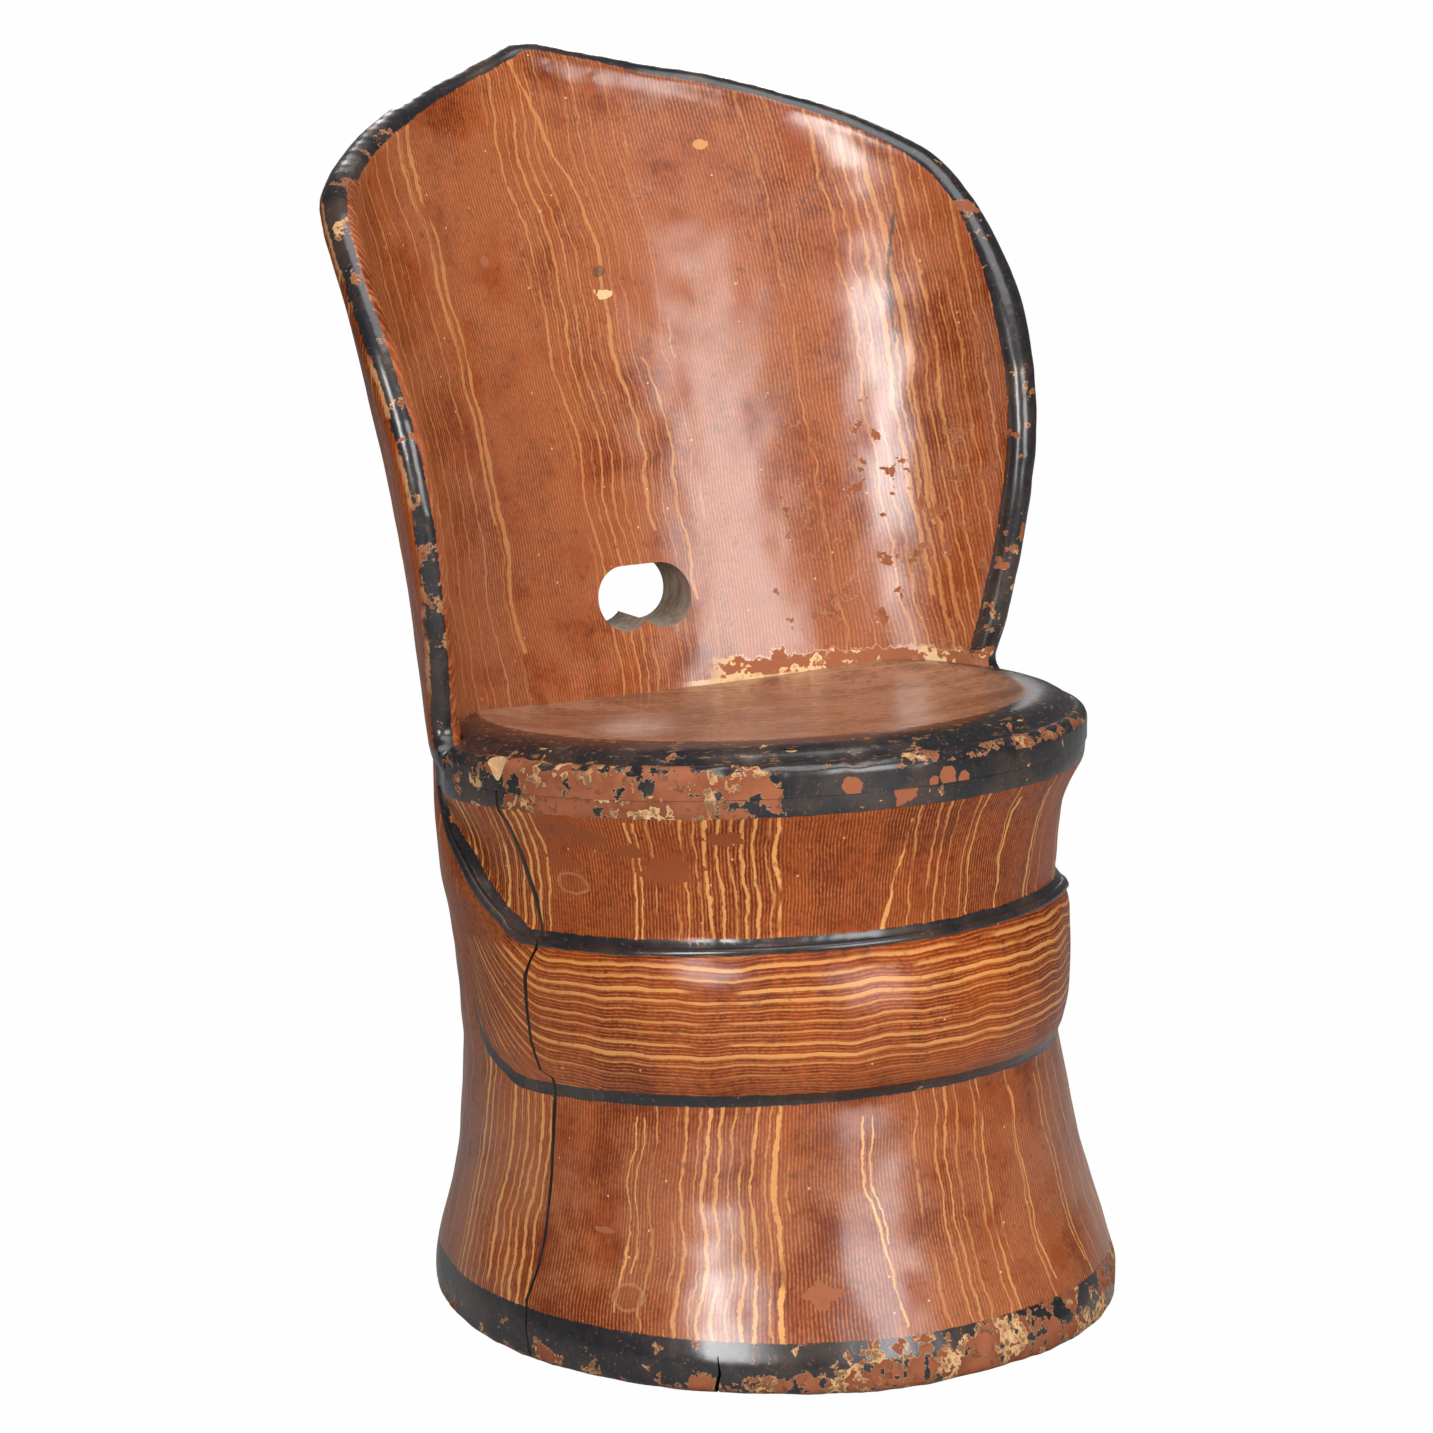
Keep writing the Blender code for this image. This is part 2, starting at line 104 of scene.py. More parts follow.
# the edge of the back: degrees from the rear, height; the crown gives right and left heights
wingShares = (
    (74.0, 0.462), (76.0, 0.480), (78.0, 0.500), (80.5, 0.532), (82.5, 0.570), (83.8, 0.612),
    (84.5, 0.659), (83.5, 0.710), (80.0, 0.765), (76.0, 0.804), (71.0, 0.839), (66.0, 0.865),
)
crownShares = (
    (60.0, 0.886, 0.883), (48.0, 0.911, 0.902), (36.0, 0.930, 0.921),
    (24.0, 0.944, 0.941), (12.0, 0.956, 0.960),
)
peak = (-5.0, 0.975)
# the upper edge of the girdle where it sweeps up to the wing: place behind the middle, height
sweepShares = (
    (-0.055, 0.3285), (0.060, 0.347), (0.170, 0.372), (0.310, 0.401), (0.380, 0.424), (0.410, 0.441),
)


def eased(low, high, start, end, t):   # from low to high, leaving and arriving at given slopes
    return (low * (1 + 2 * t) * (1 - t) ** 2 + start * t * (1 - t) ** 2
            + high * t * t * (3 - 2 * t) + end * t * t * (t - 1))


def smoothRow(rows, level):   # smooth value of every column at a level
    if level <= rows[0][0]:
        return list(rows[0][1:])
    if level >= rows[-1][0]:
        return list(rows[-1][1:])
    k = max(i for i in range(len(rows) - 1) if rows[i][0] <= level)
    low, high = rows[k], rows[k + 1]
    before = rows[k - 1] if k > 0 else low
    after = rows[k + 2] if k + 2 < len(rows) else high
    span = high[0] - low[0]
    t = (level - low[0]) / span
    values = []
    for c in range(1, len(low)):
        start = (high[c] - before[c]) / (high[0] - before[0]) * span
        end = (after[c] - low[c]) / (after[0] - low[0]) * span
        values.append(eased(low[c], high[c], start, end, t))
    return values


def sized(shares):
    height, radius = chair["height"], chair["footRadius"]
    return [(row[0] * height, *(share * radius for share in row[1:5]), *row[5:]) for row in shares]


base, girdle, hollow, back = sized(baseShares), sized(girdleShares), sized(hollowShares), sized(backShares)


def graded(level, atSeat, atTop):
    t = (level - back[0][0]) / (back[-3][0] - back[0][0])
    return atSeat + (atTop - atSeat) * min(1, max(0, t))


walls = {"rearAtSeat": 0.044, "rearAtTop": 0.024, "wingAtSeat": 0.018, "wingAtTop": 0.025,
         "beadAtSeat": 0.020, "beadAtTop": 0.0265}


def backRow(level, side):   # 1 outer surface, 0 middle of the wall, -1 inner surface
    halfWidth, widest, middle = smoothRow(back, level)
    halfWidth += side * graded(level, walls["wingAtSeat"], walls["wingAtTop"]) / 2
    return halfWidth, widest, middle + side * graded(level, walls["rearAtSeat"], walls["rearAtTop"]) / 2


def edgePoint(angle, share):
    level = share * chair["height"]
    halfWidth, widest, middle = backRow(level, 0)
    turn = radians(angle)
    return Vector((halfWidth * sin(turn), widest + (middle - widest) * cos(turn), level))


# the solids stand with the middle of their whole box over the origin
setBack = (base[0][4] + edgePoint(*peak).y + walls["beadAtTop"] / 2) / 2


def ring(level, halfWidth, widest, rear, front, tilt, steps=None):
    steps = steps or chair["roundSteps"]
    turn = 2 * pi * (np.arange(steps) + 0.5) / steps
    depth = np.where(np.cos(turn) > 0, rear - widest, widest - front)
    y = widest + depth * np.cos(turn)
    return np.stack([halfWidth * np.sin(turn), y, level - slope * tilt * y], axis=1)


def levels(first, last, step=None):
    count = max(1, round((last - first) / (step or chair["rowStep"])))
    return [first + (last - first) * i / count for i in range(count + 1)]


def pickNone():
    for obj in bpy.context.selected_objects:
        obj.select_set(False)


def active(obj):
    pickNone()
    obj.select_set(True)
    bpy.context.view_layer.objects.active = obj


def readPlaces(obj):
    places = np.empty(len(obj.data.vertices) * 3)
    obj.data.vertices.foreach_get("co", places)
    return places.reshape(-1, 3)


def writePlaces(obj, places):
    obj.data.vertices.foreach_set("co", np.ascontiguousarray(places).ravel())
    obj.data.update()


def ringStack(name, rings):   # a cylinder, cut into rows, each row put on its ring
    rings = np.array(rings)
    rows, steps = rings.shape[:2]
    pickNone()
    bpy.ops.mesh.primitive_cylinder_add(vertices=steps, radius=1, depth=2)
    obj = bpy.context.object
    obj.name = name
    bpy.ops.object.mode_set(mode="EDIT")
    bpy.ops.mesh.select_all(action="DESELECT")
    bpy.ops.object.mode_set(mode="OBJECT")
    spots = readPlaces(obj)
    if rows > 2:
        for edge in obj.data.edges:
            a, b = edge.vertices
            edge.select = bool(abs(spots[a][2] - spots[b][2]) > 1)
        bpy.ops.object.mode_set(mode="EDIT")
        bpy.ops.mesh.select_mode(type="EDGE")
        bpy.ops.mesh.subdivide(number_cuts=rows - 2)
        bpy.ops.object.mode_set(mode="OBJECT")
        spots = readPlaces(obj)
    row = np.rint((spots[:, 2] + 1) / 2 * (rows - 1)).astype(int)
    turn = np.arctan2(spots[:, 0], spots[:, 1]) / (2 * pi) * steps
    writePlaces(obj, rings[row, np.floor(turn + 0.25).astype(int) % steps])
    return obj


def slab(name, outline, start, end, axis):   # a flat outline pushed through from start to end
    pickNone()
    bpy.ops.mesh.primitive_circle_add(vertices=len(outline), radius=1, fill_type="NGON")
    obj = bpy.context.object
    obj.name = name
    spots = [(start, u, v) if axis == "X" else (u, start, v) for u, v in outline]
    writePlaces(obj, np.array(spots))
    bpy.ops.object.mode_set(mode="EDIT")
    bpy.ops.mesh.select_all(action="SELECT")
    push = (end - start, 0, 0) if axis == "X" else (0, end - start, 0)
    bpy.ops.mesh.extrude_region_move(TRANSFORM_OT_translate={"value": push})
    bpy.ops.mesh.select_all(action="SELECT")
    bpy.ops.mesh.normals_make_consistent(inside=False)
    bpy.ops.object.mode_set(mode="OBJECT")
    return obj


def combine(target, tool, operation):
    active(target)
    mod = target.modifiers.new("cut", "BOOLEAN")
    mod.operation = operation
    mod.solver = "EXACT"
    mod.object = tool
    bpy.ops.object.modifier_apply(modifier=mod.name)
    bpy.data.objects.remove(tool, do_unlink=True)


def tube(name, path, radii, sides):   # each ring turned as little as the path bends
    rings = []
    last = (path[1] - path[0]).normalized()
    spoke = last.orthogonal().normalized()
    for i, place in enumerate(path):
        along = (path[min(i + 1, len(path) - 1)] - path[max(i - 1, 0)]).normalized()
        spoke = last.rotation_difference(along) @ spoke
        last = along
        turned = [Quaternion(along, -2 * pi * k / sides) @ spoke for k in range(sides)]
        rings.append([place + radii[i] * way for way in turned])
    return ringStack(name, rings)


def smoothPath(points, pieces):
    path = []
    for k in range(len(points) - 1):
        low, high = points[k], points[k + 1]
        before = points[k - 1] if k > 0 else low
        after = points[k + 2] if k + 2 < len(points) else high
        start, end = (high - before) / 2, (after - low) / 2
        path += [eased(low, high, start, end, step / pieces) for step in range(pieces)]
    return path + [points[-1]]


# Seat board sizes and the shapes it shares with the log
seat = {"lip": 0.411, "arris": 0.400, "bottom": 0.378, "rimRadius": 0.229, "band": 0.012, "middle": 0.035,
        "rear": 0.190, "round": 0.009, "lipWidth": 0.045, "bulge": 0.8, "dish": 0.012, "shoulder": 0.056,
        "ledge": 0.032, "sideLedge": 0.035, "frontLedge": 0.044, "footWall": 0.038}


def rimRing(level, radius):
    return ring(level, radius, seat["middle"], seat["rear"], seat["middle"] - radius, 1)


def hollowStack(first, last, gap=0.0):
    rings = []
    for level in levels(first, last):
        halfWidth, widest, rear = backRow(level, -1)
        rings.append(ring(level, halfWidth - gap, widest, rear - gap, widest - reach, 0))
    return ringStack("hollow", rings)


def halfEdge(side, first=0):
    rows = list(wingShares[first:]) + [(a, right if side > 0 else left) for a, right, left in crownShares]
    return [edgePoint(side * angle, share) for angle, share in rows] + [edgePoint(*peak)]


def edgeLine():   # from the foot of the right wing over the peak to the left one
    sides = []
    for side in (-1, 1):
        points = halfEdge(side)
        foot = points[0] - Vector((0, 0, trunk["wingSunk"]))
        sides.append(smoothPath([foot] + points, trunk["edgePieces"]))
    return sides[0] + sides[1][-2::-1]


def girdleLine():   # the girdle's upper edge seen from the side: place, height
    radius, height = chair["footRadius"], chair["height"]
    sweep = [(place * radius, level * height) for place, level in sweepShares]
    return [(-reach, chair["girdleTop"] + slope * reach)] + sweep


def lineGap(line, y, z):   # signed distance from a line seen from the side, positive above it
    best = np.full(len(y), 9.0)
    side = np.zeros(len(y))
    for (y0, z0), (y1, z1) in zip(line, line[1:]):
        along = np.array((y1 - y0, z1 - z0))
        t = np.clip(((y - y0) * along[0] + (z - z0) * along[1]) / (along @ along), 0, 1)
        dy, dz = y - y0 - t * along[0], z - z0 - t * along[1]
        far = np.hypot(dy, dz)
        near = far < best
        best = np.where(near, far, best)
        side = np.where(near, along[0] * dz - along[1] * dy, side)
    return best * np.sign(side)


# The log: the girdle's rolled edge, the dents of carving, the bead above the girdle and the check
trunk = {"girdleRound": 0.022, "girdlePull": 0.0055, "backTiltEnds": 0.045, "footChamfer": 0.004,
         "carving": 0.0016, "carvingSize": 0.075, "toolMarks": 0.0006, "toolMarkSize": 0.022,
         "beadRadius": 0.0037, "beadSunk": 0.0012, "beadGap": 0.012, "beadEnd": 0.35, "beadSides": 12,
         "checkDepth": 0.008, "checkOut": 0.004, "checkWidth": 1.05, "checkFlare": 1.5, "edgeSides": 20,
         "bandInside": 0.001, "rollAbove": 0.01, "wingSunk": 0.009, "edgePieces": 6, "edgeOver": 0.001,
         "hollowStep": 0.012, "checkFoot": 0.003, "beadAround": 0.19, "beadTo": 72, "beadStep": 6,
         "beadTaper": 0.1, "bareBelow": 0.372, "sawnTo": 0.0012}


def makeLog():
    top = girdle[-1][0]
    rings = [ring(*row) for row in girdle[:3]]
    rings += [ring(level, *smoothRow(girdle, level)) for level in levels(girdle[3][0], top)]
    first = back[0][0]
    for level in levels(first, back[-1][0]):
        halfWidth, widest, rear = backRow(level, 1)
        tilt = max(0, 1 - (level - first) / trunk["backTiltEnds"]) * girdle[-1][5]
        rings.append(ring(level, halfWidth, widest, rear, girdle[-1][4], tilt))
    obj = ringStack("trunk_painted", rings)
    spots = readPlaces(obj)   # the girdle rolls inwards under its upper edge
    gap = lineGap(girdleLine(), spots[:, 1], spots[:, 2])
    near = gap < trunk["rollAbove"]
    roll = np.clip(1 + gap / trunk["girdleRound"], 0, 1) ** 2 * near * trunk["girdlePull"]
    axis = chair["axis"]
    away = np.hypot(spots[:, 0], spots[:, 1] - axis)
    spots[:, 0] *= 1 - roll / away
    spots[:, 1] = axis + (spots[:, 1] - axis) * (1 - roll / away)
    writePlaces(obj, spots)
    return obj


def below(level):   # everything under a level that tilts like the seat
    outline = [(-2 * reach, 0), (2 * reach, 0)] + [(y, level - slope * y) for y in (2 * reach, -2 * reach)]
    return slab("below", outline, -2 * reach, 2 * reach, "X")


def aboveGirdle():
    line = girdleLine()
    roof = seat["bottom"] + seat["round"]
    outline = line + [(line[-1][0], roof - slope * line[-1][0]), (-reach, roof + slope * reach)]
    return slab("aboveGirdle", outline, -reach, reach, "X")


def drumWall():
    rows = [(level * chair["height"], radius * chair["footRadius"]) for level, radius in drumShares]
    rings = [rimRing(level, smoothRow(rows, level)[0]) for level in levels(rows[0][0], rows[-1][0])]
    ends = (seat["bottom"] - seat["band"], seat["lip"])
    rings += [rimRing(level, seat["rimRadius"] - trunk["bandInside"]) for level in ends]
    return ringStack("drum", rings)


def flaredFoot():
    chamfer, (start, halfWidth, widest, rear, front, _) = trunk["footChamfer"], base[0]
    rings = [ring(0, halfWidth - chamfer, widest, rear - chamfer, front + chamfer, 0),
             ring(chamfer, halfWidth, widest, rear, front, 0)]
    rings += [ring(level, *smoothRow(base, level)) for level in levels(start, base[-1][0])]
    return ringStack("foot", rings)


def spaceOverSeat():
    spare = chair["overcut"]
    low, high = chair["girdleTop"] + spare / 2, chair["height"] + 2 * spare
    wing = [edgePoint(angle, share) for angle, share in wingShares]
    outline = [(-reach, low), (seat["shoulder"], low), (seat["shoulder"], wing[0].z)]
    outline += [(p.y, p.z) for p in wing[1:]] + [(wing[-1].y, high), (-reach, high)]
    space = slab("seatSpace", outline, -reach, reach, "X")
    combine(space, hollowStack(seat["bottom"] - spare, chair["height"] + spare), "UNION")
    combine(space, below(seat["bottom"] + chair["spareRim"]), "DIFFERENCE")
    return space


def aboveCrown():
    last = len(wingShares) - 1
    low, high = edgePoint(*wingShares[last - 1]).z, chair["height"] + 2 * chair["overcut"]
    points = smoothPath(halfEdge(-1, last), 3) + smoothPath(halfEdge(1, last), 3)[-2::-1]
    crown = [(p.x, p.z) for p in points]
    outline = [(-reach, high), (-reach, low), *crown, (reach, low), (reach, high)]
    return slab("aboveCrown", outline, 0, 2 * reach, "Y")


def edgeBead():   # the rounded edge of the back
    path = edgeLine()
    radii = [graded(p.z, walls["beadAtSeat"], walls["beadAtTop"]) / 2 for p in path]
    bead = tube("edgeBead", path, radii, trunk["edgeSides"])
    space = hollowStack(seat["bottom"] - chair["overcut"], seat["lip"], -trunk["edgeOver"])
    combine(bead, space, "DIFFERENCE")
    return bead


def logHollow():   # from the mouth at the foot up through the ledge under the seat
    wall, spare = seat["footWall"], chair["overcut"]
    _, halfWidth, widest, rear, front, _ = base[0]
    mouth = (halfWidth - wall, widest, rear - wall, front + wall, 0)
    halfWidth, _, rear = backRow(seat["bottom"], -1)
    ledge = (halfWidth - seat["sideLedge"], seat["middle"], rear - seat["ledge"],
             seat["middle"] - seat["rimRadius"] + seat["frontLedge"], 1.0)
    rows = [*hollow, (seat["bottom"], *ledge)]
    rings = [ring(-spare, *mouth), ring(trunk["footChamfer"], *mouth)]
    between = levels(rows[0][0], rows[-1][0], trunk["hollowStep"])
    rings += [ring(level, *smoothRow(rows, level)) for level in between]
    rings.append(ring(seat["bottom"] + spare, *ledge))
    return ringStack("logHollow", rings)


def makeTrunk():
    log = makeLog()
    combine(log, aboveGirdle(), "DIFFERENCE")
    combine(log, drumWall(), "UNION")
    combine(log, flaredFoot(), "UNION")
    combine(log, spaceOverSeat(), "DIFFERENCE")
    combine(log, aboveCrown(), "DIFFERENCE")
    combine(log, edgeBead(), "UNION")
    combine(log, logHollow(), "DIFFERENCE")
    return log


def handHole(bore=0.045, pitch=0.031, level=0.4555, steps=40):   # two auger bores side by side
    middle, radius = pitch / 2, bore / 2
    first, last = pi / 2, 2 * pi - acos(middle / radius)
    outline = []
    for k in range(steps + 1):
        turn = first + (last - first) * k / steps
        outline.append((-middle + radius * cos(turn), level + radius * sin(turn)))
    outline += [(-x, z) for x, z in reversed(outline[:-1])]
    return slab("handHole", outline, 0, 2 * reach, "Y")


def shiftBack(obj):
    spots = readPlaces(obj)
    spots[:, 1] -= setBack
    writePlaces(obj, spots)


def even(obj, voxel, turns, keep):   # even faces, edges rubbed round, then fewer faces
    active(obj)
    steps = (("REMESH", {"mode": "VOXEL", "voxel_size": voxel}),
             ("SMOOTH", {"factor": 0.5, "iterations": turns}), ("DECIMATE", {"ratio": keep}))
    for kind, settings in steps:
        mod = obj.modifiers.new("even", kind)
        for key, value in settings.items():
            setattr(mod, key, value)
        bpy.ops.object.modifier_apply(modifier=mod.name)


def readNormals(obj):
    normals = np.empty(len(obj.data.vertices) * 3)
    obj.data.vertices.foreach_get("normal", normals)
    return normals.reshape(-1, 3)


def carve(obj, depth, size, seed):   # low dents and swellings left by the tools
    spots = readPlaces(obj)
    shift = Vector((seed, seed * 2, seed * 3))
    lift = np.array([noise.noise(Vector(p) / size + shift) for p in spots])
    writePlaces(obj, spots + readNormals(obj) * (lift * depth)[:, None])


def surfaceAt(surface, angle, level):   # where a level ray towards the foot's axis meets the log
    away = Vector((sin(radians(angle)), -cos(radians(angle)), 0))
    return surface.ray_cast(away * reach + Vector((0, 0, level)), -away)[0]


# the long drying check, from the seam down to the floor: angle from the front, height, half width in mm
checkPath = ((-88.3, 0.384, 1.1), (-88.0, 0.364, 1.2), (-87.3, 0.3565, 1.3), (-86.7, 0.340, 1.5),
             (-85.4, 0.320, 1.6), (-84.2, 0.3045, 1.4), (-83.3, 0.280, 1.2), (-82.4, 0.277, 1.1),
             (-85.2, 0.253, 1.2), (-85.5, 0.229, 1.1), (-85.1, 0.208, 1.0), (-83.5, 0.189, 0.9),
             (-80.5, 0.185, 0.9), (-79.9, 0.162, 1.1), (-79.4, 0.144, 1.0), (-78.5, 0.1075, 0.9),
             (-77.9, 0.078, 0.9), (-78.0, 0.061, 0.7), (-79.0, 0.039, 0.9), (-77.1, 0.005, 1.2),
             (-77.0, -0.010, 1.3))
shortCheckPath = ((-42.0, 0.026, 0.2), (-41.6, 0.015, 0.7), (-42.2, 0.004, 1.0), (-42.0, -0.008, 1.1))


def checkWedge(surface, rows):   # a thin wedge with its blade inside the log
    rings = []
    for angle, level, half in reversed(rows):
        away = Vector((sin(radians(angle)), -cos(radians(angle)), 0))
        place = surfaceAt(surface, angle, max(level, trunk["checkFoot"]))
        place = Vector((place.x, place.y, level))
        side = Vector((away.y, -away.x, 0)) * half * trunk["checkWidth"] / 1000
        flare = side * trunk["checkFlare"]
        blade = place - away * trunk["checkDepth"]
        rings.append([place + away * trunk["checkOut"], place + flare, blade, place - flare])
    return ringStack("checkWedge", rings)


def girdleBead(surface):   # the rounded bead under the girdle's upper edge and up the sweep
    line = girdleLine()
    half = []
    # each place at the front is found by closing in on the line from a rough radius
    for angle in range(0, trunk["beadTo"], trunk["beadStep"]):
        y = -trunk["beadAround"] * cos(radians(angle))
        for _ in range(4):
            level = line[0][1] - slope * (y - line[0][0]) - trunk["beadRadius"]
            spot = surfaceAt(surface, angle, level)
            y = spot.y
        half.append(spot)
    for y, level in smoothLine(line[1:], 4):
        if y > half[-1].y + trunk["beadGap"]:
            spot = surface.ray_cast(Vector((reach, y, level - trunk["beadRadius"])), Vector((-1, 0, 0)))[0]
            half.append(spot)
    mirrored = [Vector((-p.x, p.y, p.z)) for p in half[:0:-1]]
    path = smoothPath(mirrored + half, 2)
    middle = Vector((0, chair["axis"], 0))
    path = [p - ((p - middle) * Vector((1, 1, 0))).normalized() * trunk["beadSunk"] for p in path]
    fromEnd = [min(k, len(path) - 1 - k) for k in range(len(path))]
    shares = [min(1, trunk["beadEnd"] + trunk["beadTaper"] * far) for far in fromEnd]
    return tube("girdleBead", path, [trunk["beadRadius"] * s for s in shares], trunk["beadSides"])


def smoothLine(points, pieces):
    return [(p.y, p.z) for p in smoothPath([Vector((0, y, z)) for y, z in points], pieces)]


def addMaterials(obj, *names):
    made = [bpy.data.materials.new(name) for name in names]
    for mat in made:
        obj.data.materials.append(mat)
    return made


def crispCuts(log):   # what has to stay sharp is cut and added after the evening
    low, high = 0.33, 0.45
    corners = [(-reach, low), (seat["shoulder"], low), (seat["shoulder"], high), (-reach, high)]
    inside = slab("seatBed", corners, -reach, reach, "X")
    combine(inside, hollowStack(low, high), "UNION")
    combine(inside, below(seat["bottom"]), "DIFFERENCE")
    combine(inside, below(seat["bottom"] + 2.5 * chair["spareRim"]), "INTERSECT")
    surface = BVHTree.FromObject(log, bpy.context.evaluated_depsgraph_get())
    bead = girdleBead(surface)
    wedges = [checkWedge(surface, checkPath), checkWedge(surface, shortCheckPath)]
    combine(log, bead, "UNION")
    combine(log, inside, "DIFFERENCE")
    _, rawWood, checkShadeWood = addMaterials(log, "log paint", "raw log wood", "check wood in painted shade")
    # the checks get their own near-black wood: painted shade for the dark deep in the narrow slits
    for tool in [handHole()] + pegHoles() + wedges:
        tool.data.materials.append(checkShadeWood if tool in wedges else rawWood)
        combine(log, tool, "DIFFERENCE")


pegs = {"count": 6, "radius": 0.0063, "length": 0.0443, "spare": 0.001, "sunk": 0.002, "sides": 24,
        "angles": (-72, -25, 25, 72), "ledgeSide": 0.075, "ledgeBack": 0.143}


def pegHoles():
    holes = []
    radius = seat["rimRadius"] - seat["lipWidth"] / 2
    crest = seat["arris"] + seat["bulge"] * (seat["lip"] - seat["arris"])
    turns = [radians(angle) for angle in pegs["angles"]]
    tops = [(radius * sin(turn), seat["middle"] - radius * cos(turn), crest) for turn in turns]
    low = seat["lip"] - seat["dish"]
    tops += [(x, pegs["ledgeBack"], low) for x in (-pegs["ledgeSide"], pegs["ledgeSide"])]
    depth, tilt = pegs["length"] + pegs["spare"], radians(chair["seatTilt"])
    for x, y, level in tops:
        pickNone()
        bpy.ops.mesh.primitive_cylinder_add(vertices=pegs["sides"], radius=pegs["radius"], depth=depth)
        hole = bpy.context.object
        spots = readPlaces(hole)
        spots[:, 2] += level - pegs["sunk"] - pegs["length"] / 2
        up = spots[:, 2] - level
        spots[:, 2] = level - slope * y + up * cos(tilt) - spots[:, 1] * sin(tilt)
        spots[:, 1] = spots[:, 1] * cos(tilt) + up * sin(tilt) + y
        spots[:, 0] += x
        writePlaces(hole, spots)
        holes.append(hole)
    return holes


log = makeTrunk()
print("trunk joined:", len(log.data.polygons), "faces")
even(log, chair["voxel"], chair["smoothing"], chair["keepFaces"])
carve(log, trunk["carving"], trunk["carvingSize"], 3.1)
carve(log, trunk["toolMarks"], trunk["toolMarkSize"], 8.7)
print("trunk evened and carved:", len(log.data.polygons), "faces")
crispCuts(log)
print("trunk cut crisp:", len(log.data.polygons), "faces")


# The seat board: one stack from its bottom over the arris and the lip down into the dish
board = {"steps": 320, "gap": 0.0003, "arrisRows": 9, "slopeRows": 8, "slopePower": 3.4, "dishRings": 34,
         "dishRows": ((1.0, 0.0), (0.92, 0.28), (0.80, 0.62), (0.60, 0.90), (0.35, 1.0)),
         "nicks": 0.0022, "nickSize": 0.011, "nickReach": 0.016, "nickMost": -45, "nickSpread": 50,
         "nickLeast": 0.35, "nickNoise": (0.12, 0.5), "nickDown": 0.8, "notchRough": 0.35, "notchWaves": 1.7,
         "notchSize": (0.0085, 0.0085, 0.013), "notchAt": (-0.2245, -0.008, 0.4005)}


def circleRing(level, radius):
    middle = seat["middle"]
    return ring(level, radius, middle, middle + radius, middle - radius, 1, board["steps"])


def makeBoard():
    lipRadius = seat["rimRadius"] - seat["lipWidth"]
    rows = [(seat["bottom"] + board["gap"], seat["rimRadius"])]
    for turn in np.linspace(0, pi / 2, board["arrisRows"]):
        level = seat["arris"] - seat["round"] * (1 - sin(turn))
        rows.append((level, seat["rimRadius"] - seat["round"] * (1 - cos(turn))))
    (start, outer), rise = rows[-1], seat["lip"] - seat["arris"]
    for t in np.linspace(0, 1, board["slopeRows"])[1:]:   # a swelling slope up to the lip
        level = start + rise * (1 - (1 - t) ** board["slopePower"])
        rows.append((level, outer + (lipRadius - outer) * t))
    dish = sorted((1 - share, depth) for share, depth in board["dishRows"])
    for k in range(1, board["dishRings"]):
        share = 1 - k / board["dishRings"]
        depth = smoothRow(dish, 1 - share)[0] * seat["dish"]
        rows.append((seat["lip"] - depth, lipRadius * share))
    obj = ringStack("seat_board_painted", [circleRing(level, radius) for level, radius in rows])
    y = seat["shoulder"] - board["gap"]
    behind = [(y, 0), (reach, 0), (reach, chair["height"]), (y, chair["height"])]
    trim = slab("boardTrim", behind, -reach, reach, "X")
    spare = chair["overcut"]
    space = hollowStack(seat["bottom"] - spare, chair["height"] + spare, board["gap"])
    combine(trim, space, "DIFFERENCE")
    nickArris(obj)
    combine(obj, trim, "DIFFERENCE")
    _, rawWood = addMaterials(obj, "seat paint", "raw board wood")
    for tool in [rimNotch()] + pegHoles():
        tool.data.materials.append(rawWood)
        combine(obj, tool, "DIFFERENCE")
    return obj


def nickArris(obj):   # small bites out of the rounded arris, most of them at the front left
    spots = readPlaces(obj)
    middle = seat["middle"]
    away = np.hypot(spots[:, 0], spots[:, 1] - middle)
    angle = np.degrees(np.arctan2(spots[:, 0], middle - spots[:, 1]))
    level = spots[:, 2] + slope * spots[:, 1]
    far = np.hypot(away - seat["rimRadius"], level - seat["arris"])
    near = np.clip(1 - far / board["nickReach"], 0, 1)
    least, (low, high) = board["nickLeast"], board["nickNoise"]
    side = np.clip(1 - np.abs(angle - board["nickMost"]) / board["nickSpread"], 0, 1)
    side = least + (1 - least) * side
    bite = np.array([noise.noise(Vector(p) / board["nickSize"]) for p in spots])
    bite = np.clip(bite - low, 0, high) * near * side * board["nicks"] / (high - low)
    shrink = 1 - bite / np.maximum(away, 0.01)
    spots[:, 0] *= shrink
    spots[:, 1] = middle + (spots[:, 1] - middle) * shrink
    spots[:, 2] -= bite * board["nickDown"]
    writePlaces(obj, spots)


def rimNotch():   # a splinter gone from the rim above the long check
    pickNone()
    bpy.ops.mesh.primitive_ico_sphere_add(subdivisions=3, radius=1)
    obj = bpy.context.object
    spots = readPlaces(obj)
    waves = [noise.noise(Vector(p) * board["notchWaves"]) for p in spots]
    rough = 1 + board["notchRough"] * np.array(waves)
    writePlaces(obj, spots * rough[:, None] * np.array(board["notchSize"]) + np.array(board["notchAt"]))
    return obj


seatBoard = makeBoard()
print("board:", len(seatBoard.data.polygons), "faces")
for obj in (log, seatBoard):
    shiftBack(obj)
    active(obj)
    bpy.ops.object.shade_smooth_by_angle(angle=radians(40))
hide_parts("trunk")
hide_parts("seat_board")
for piece in (log, seatBoard):
    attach(piece, "root")


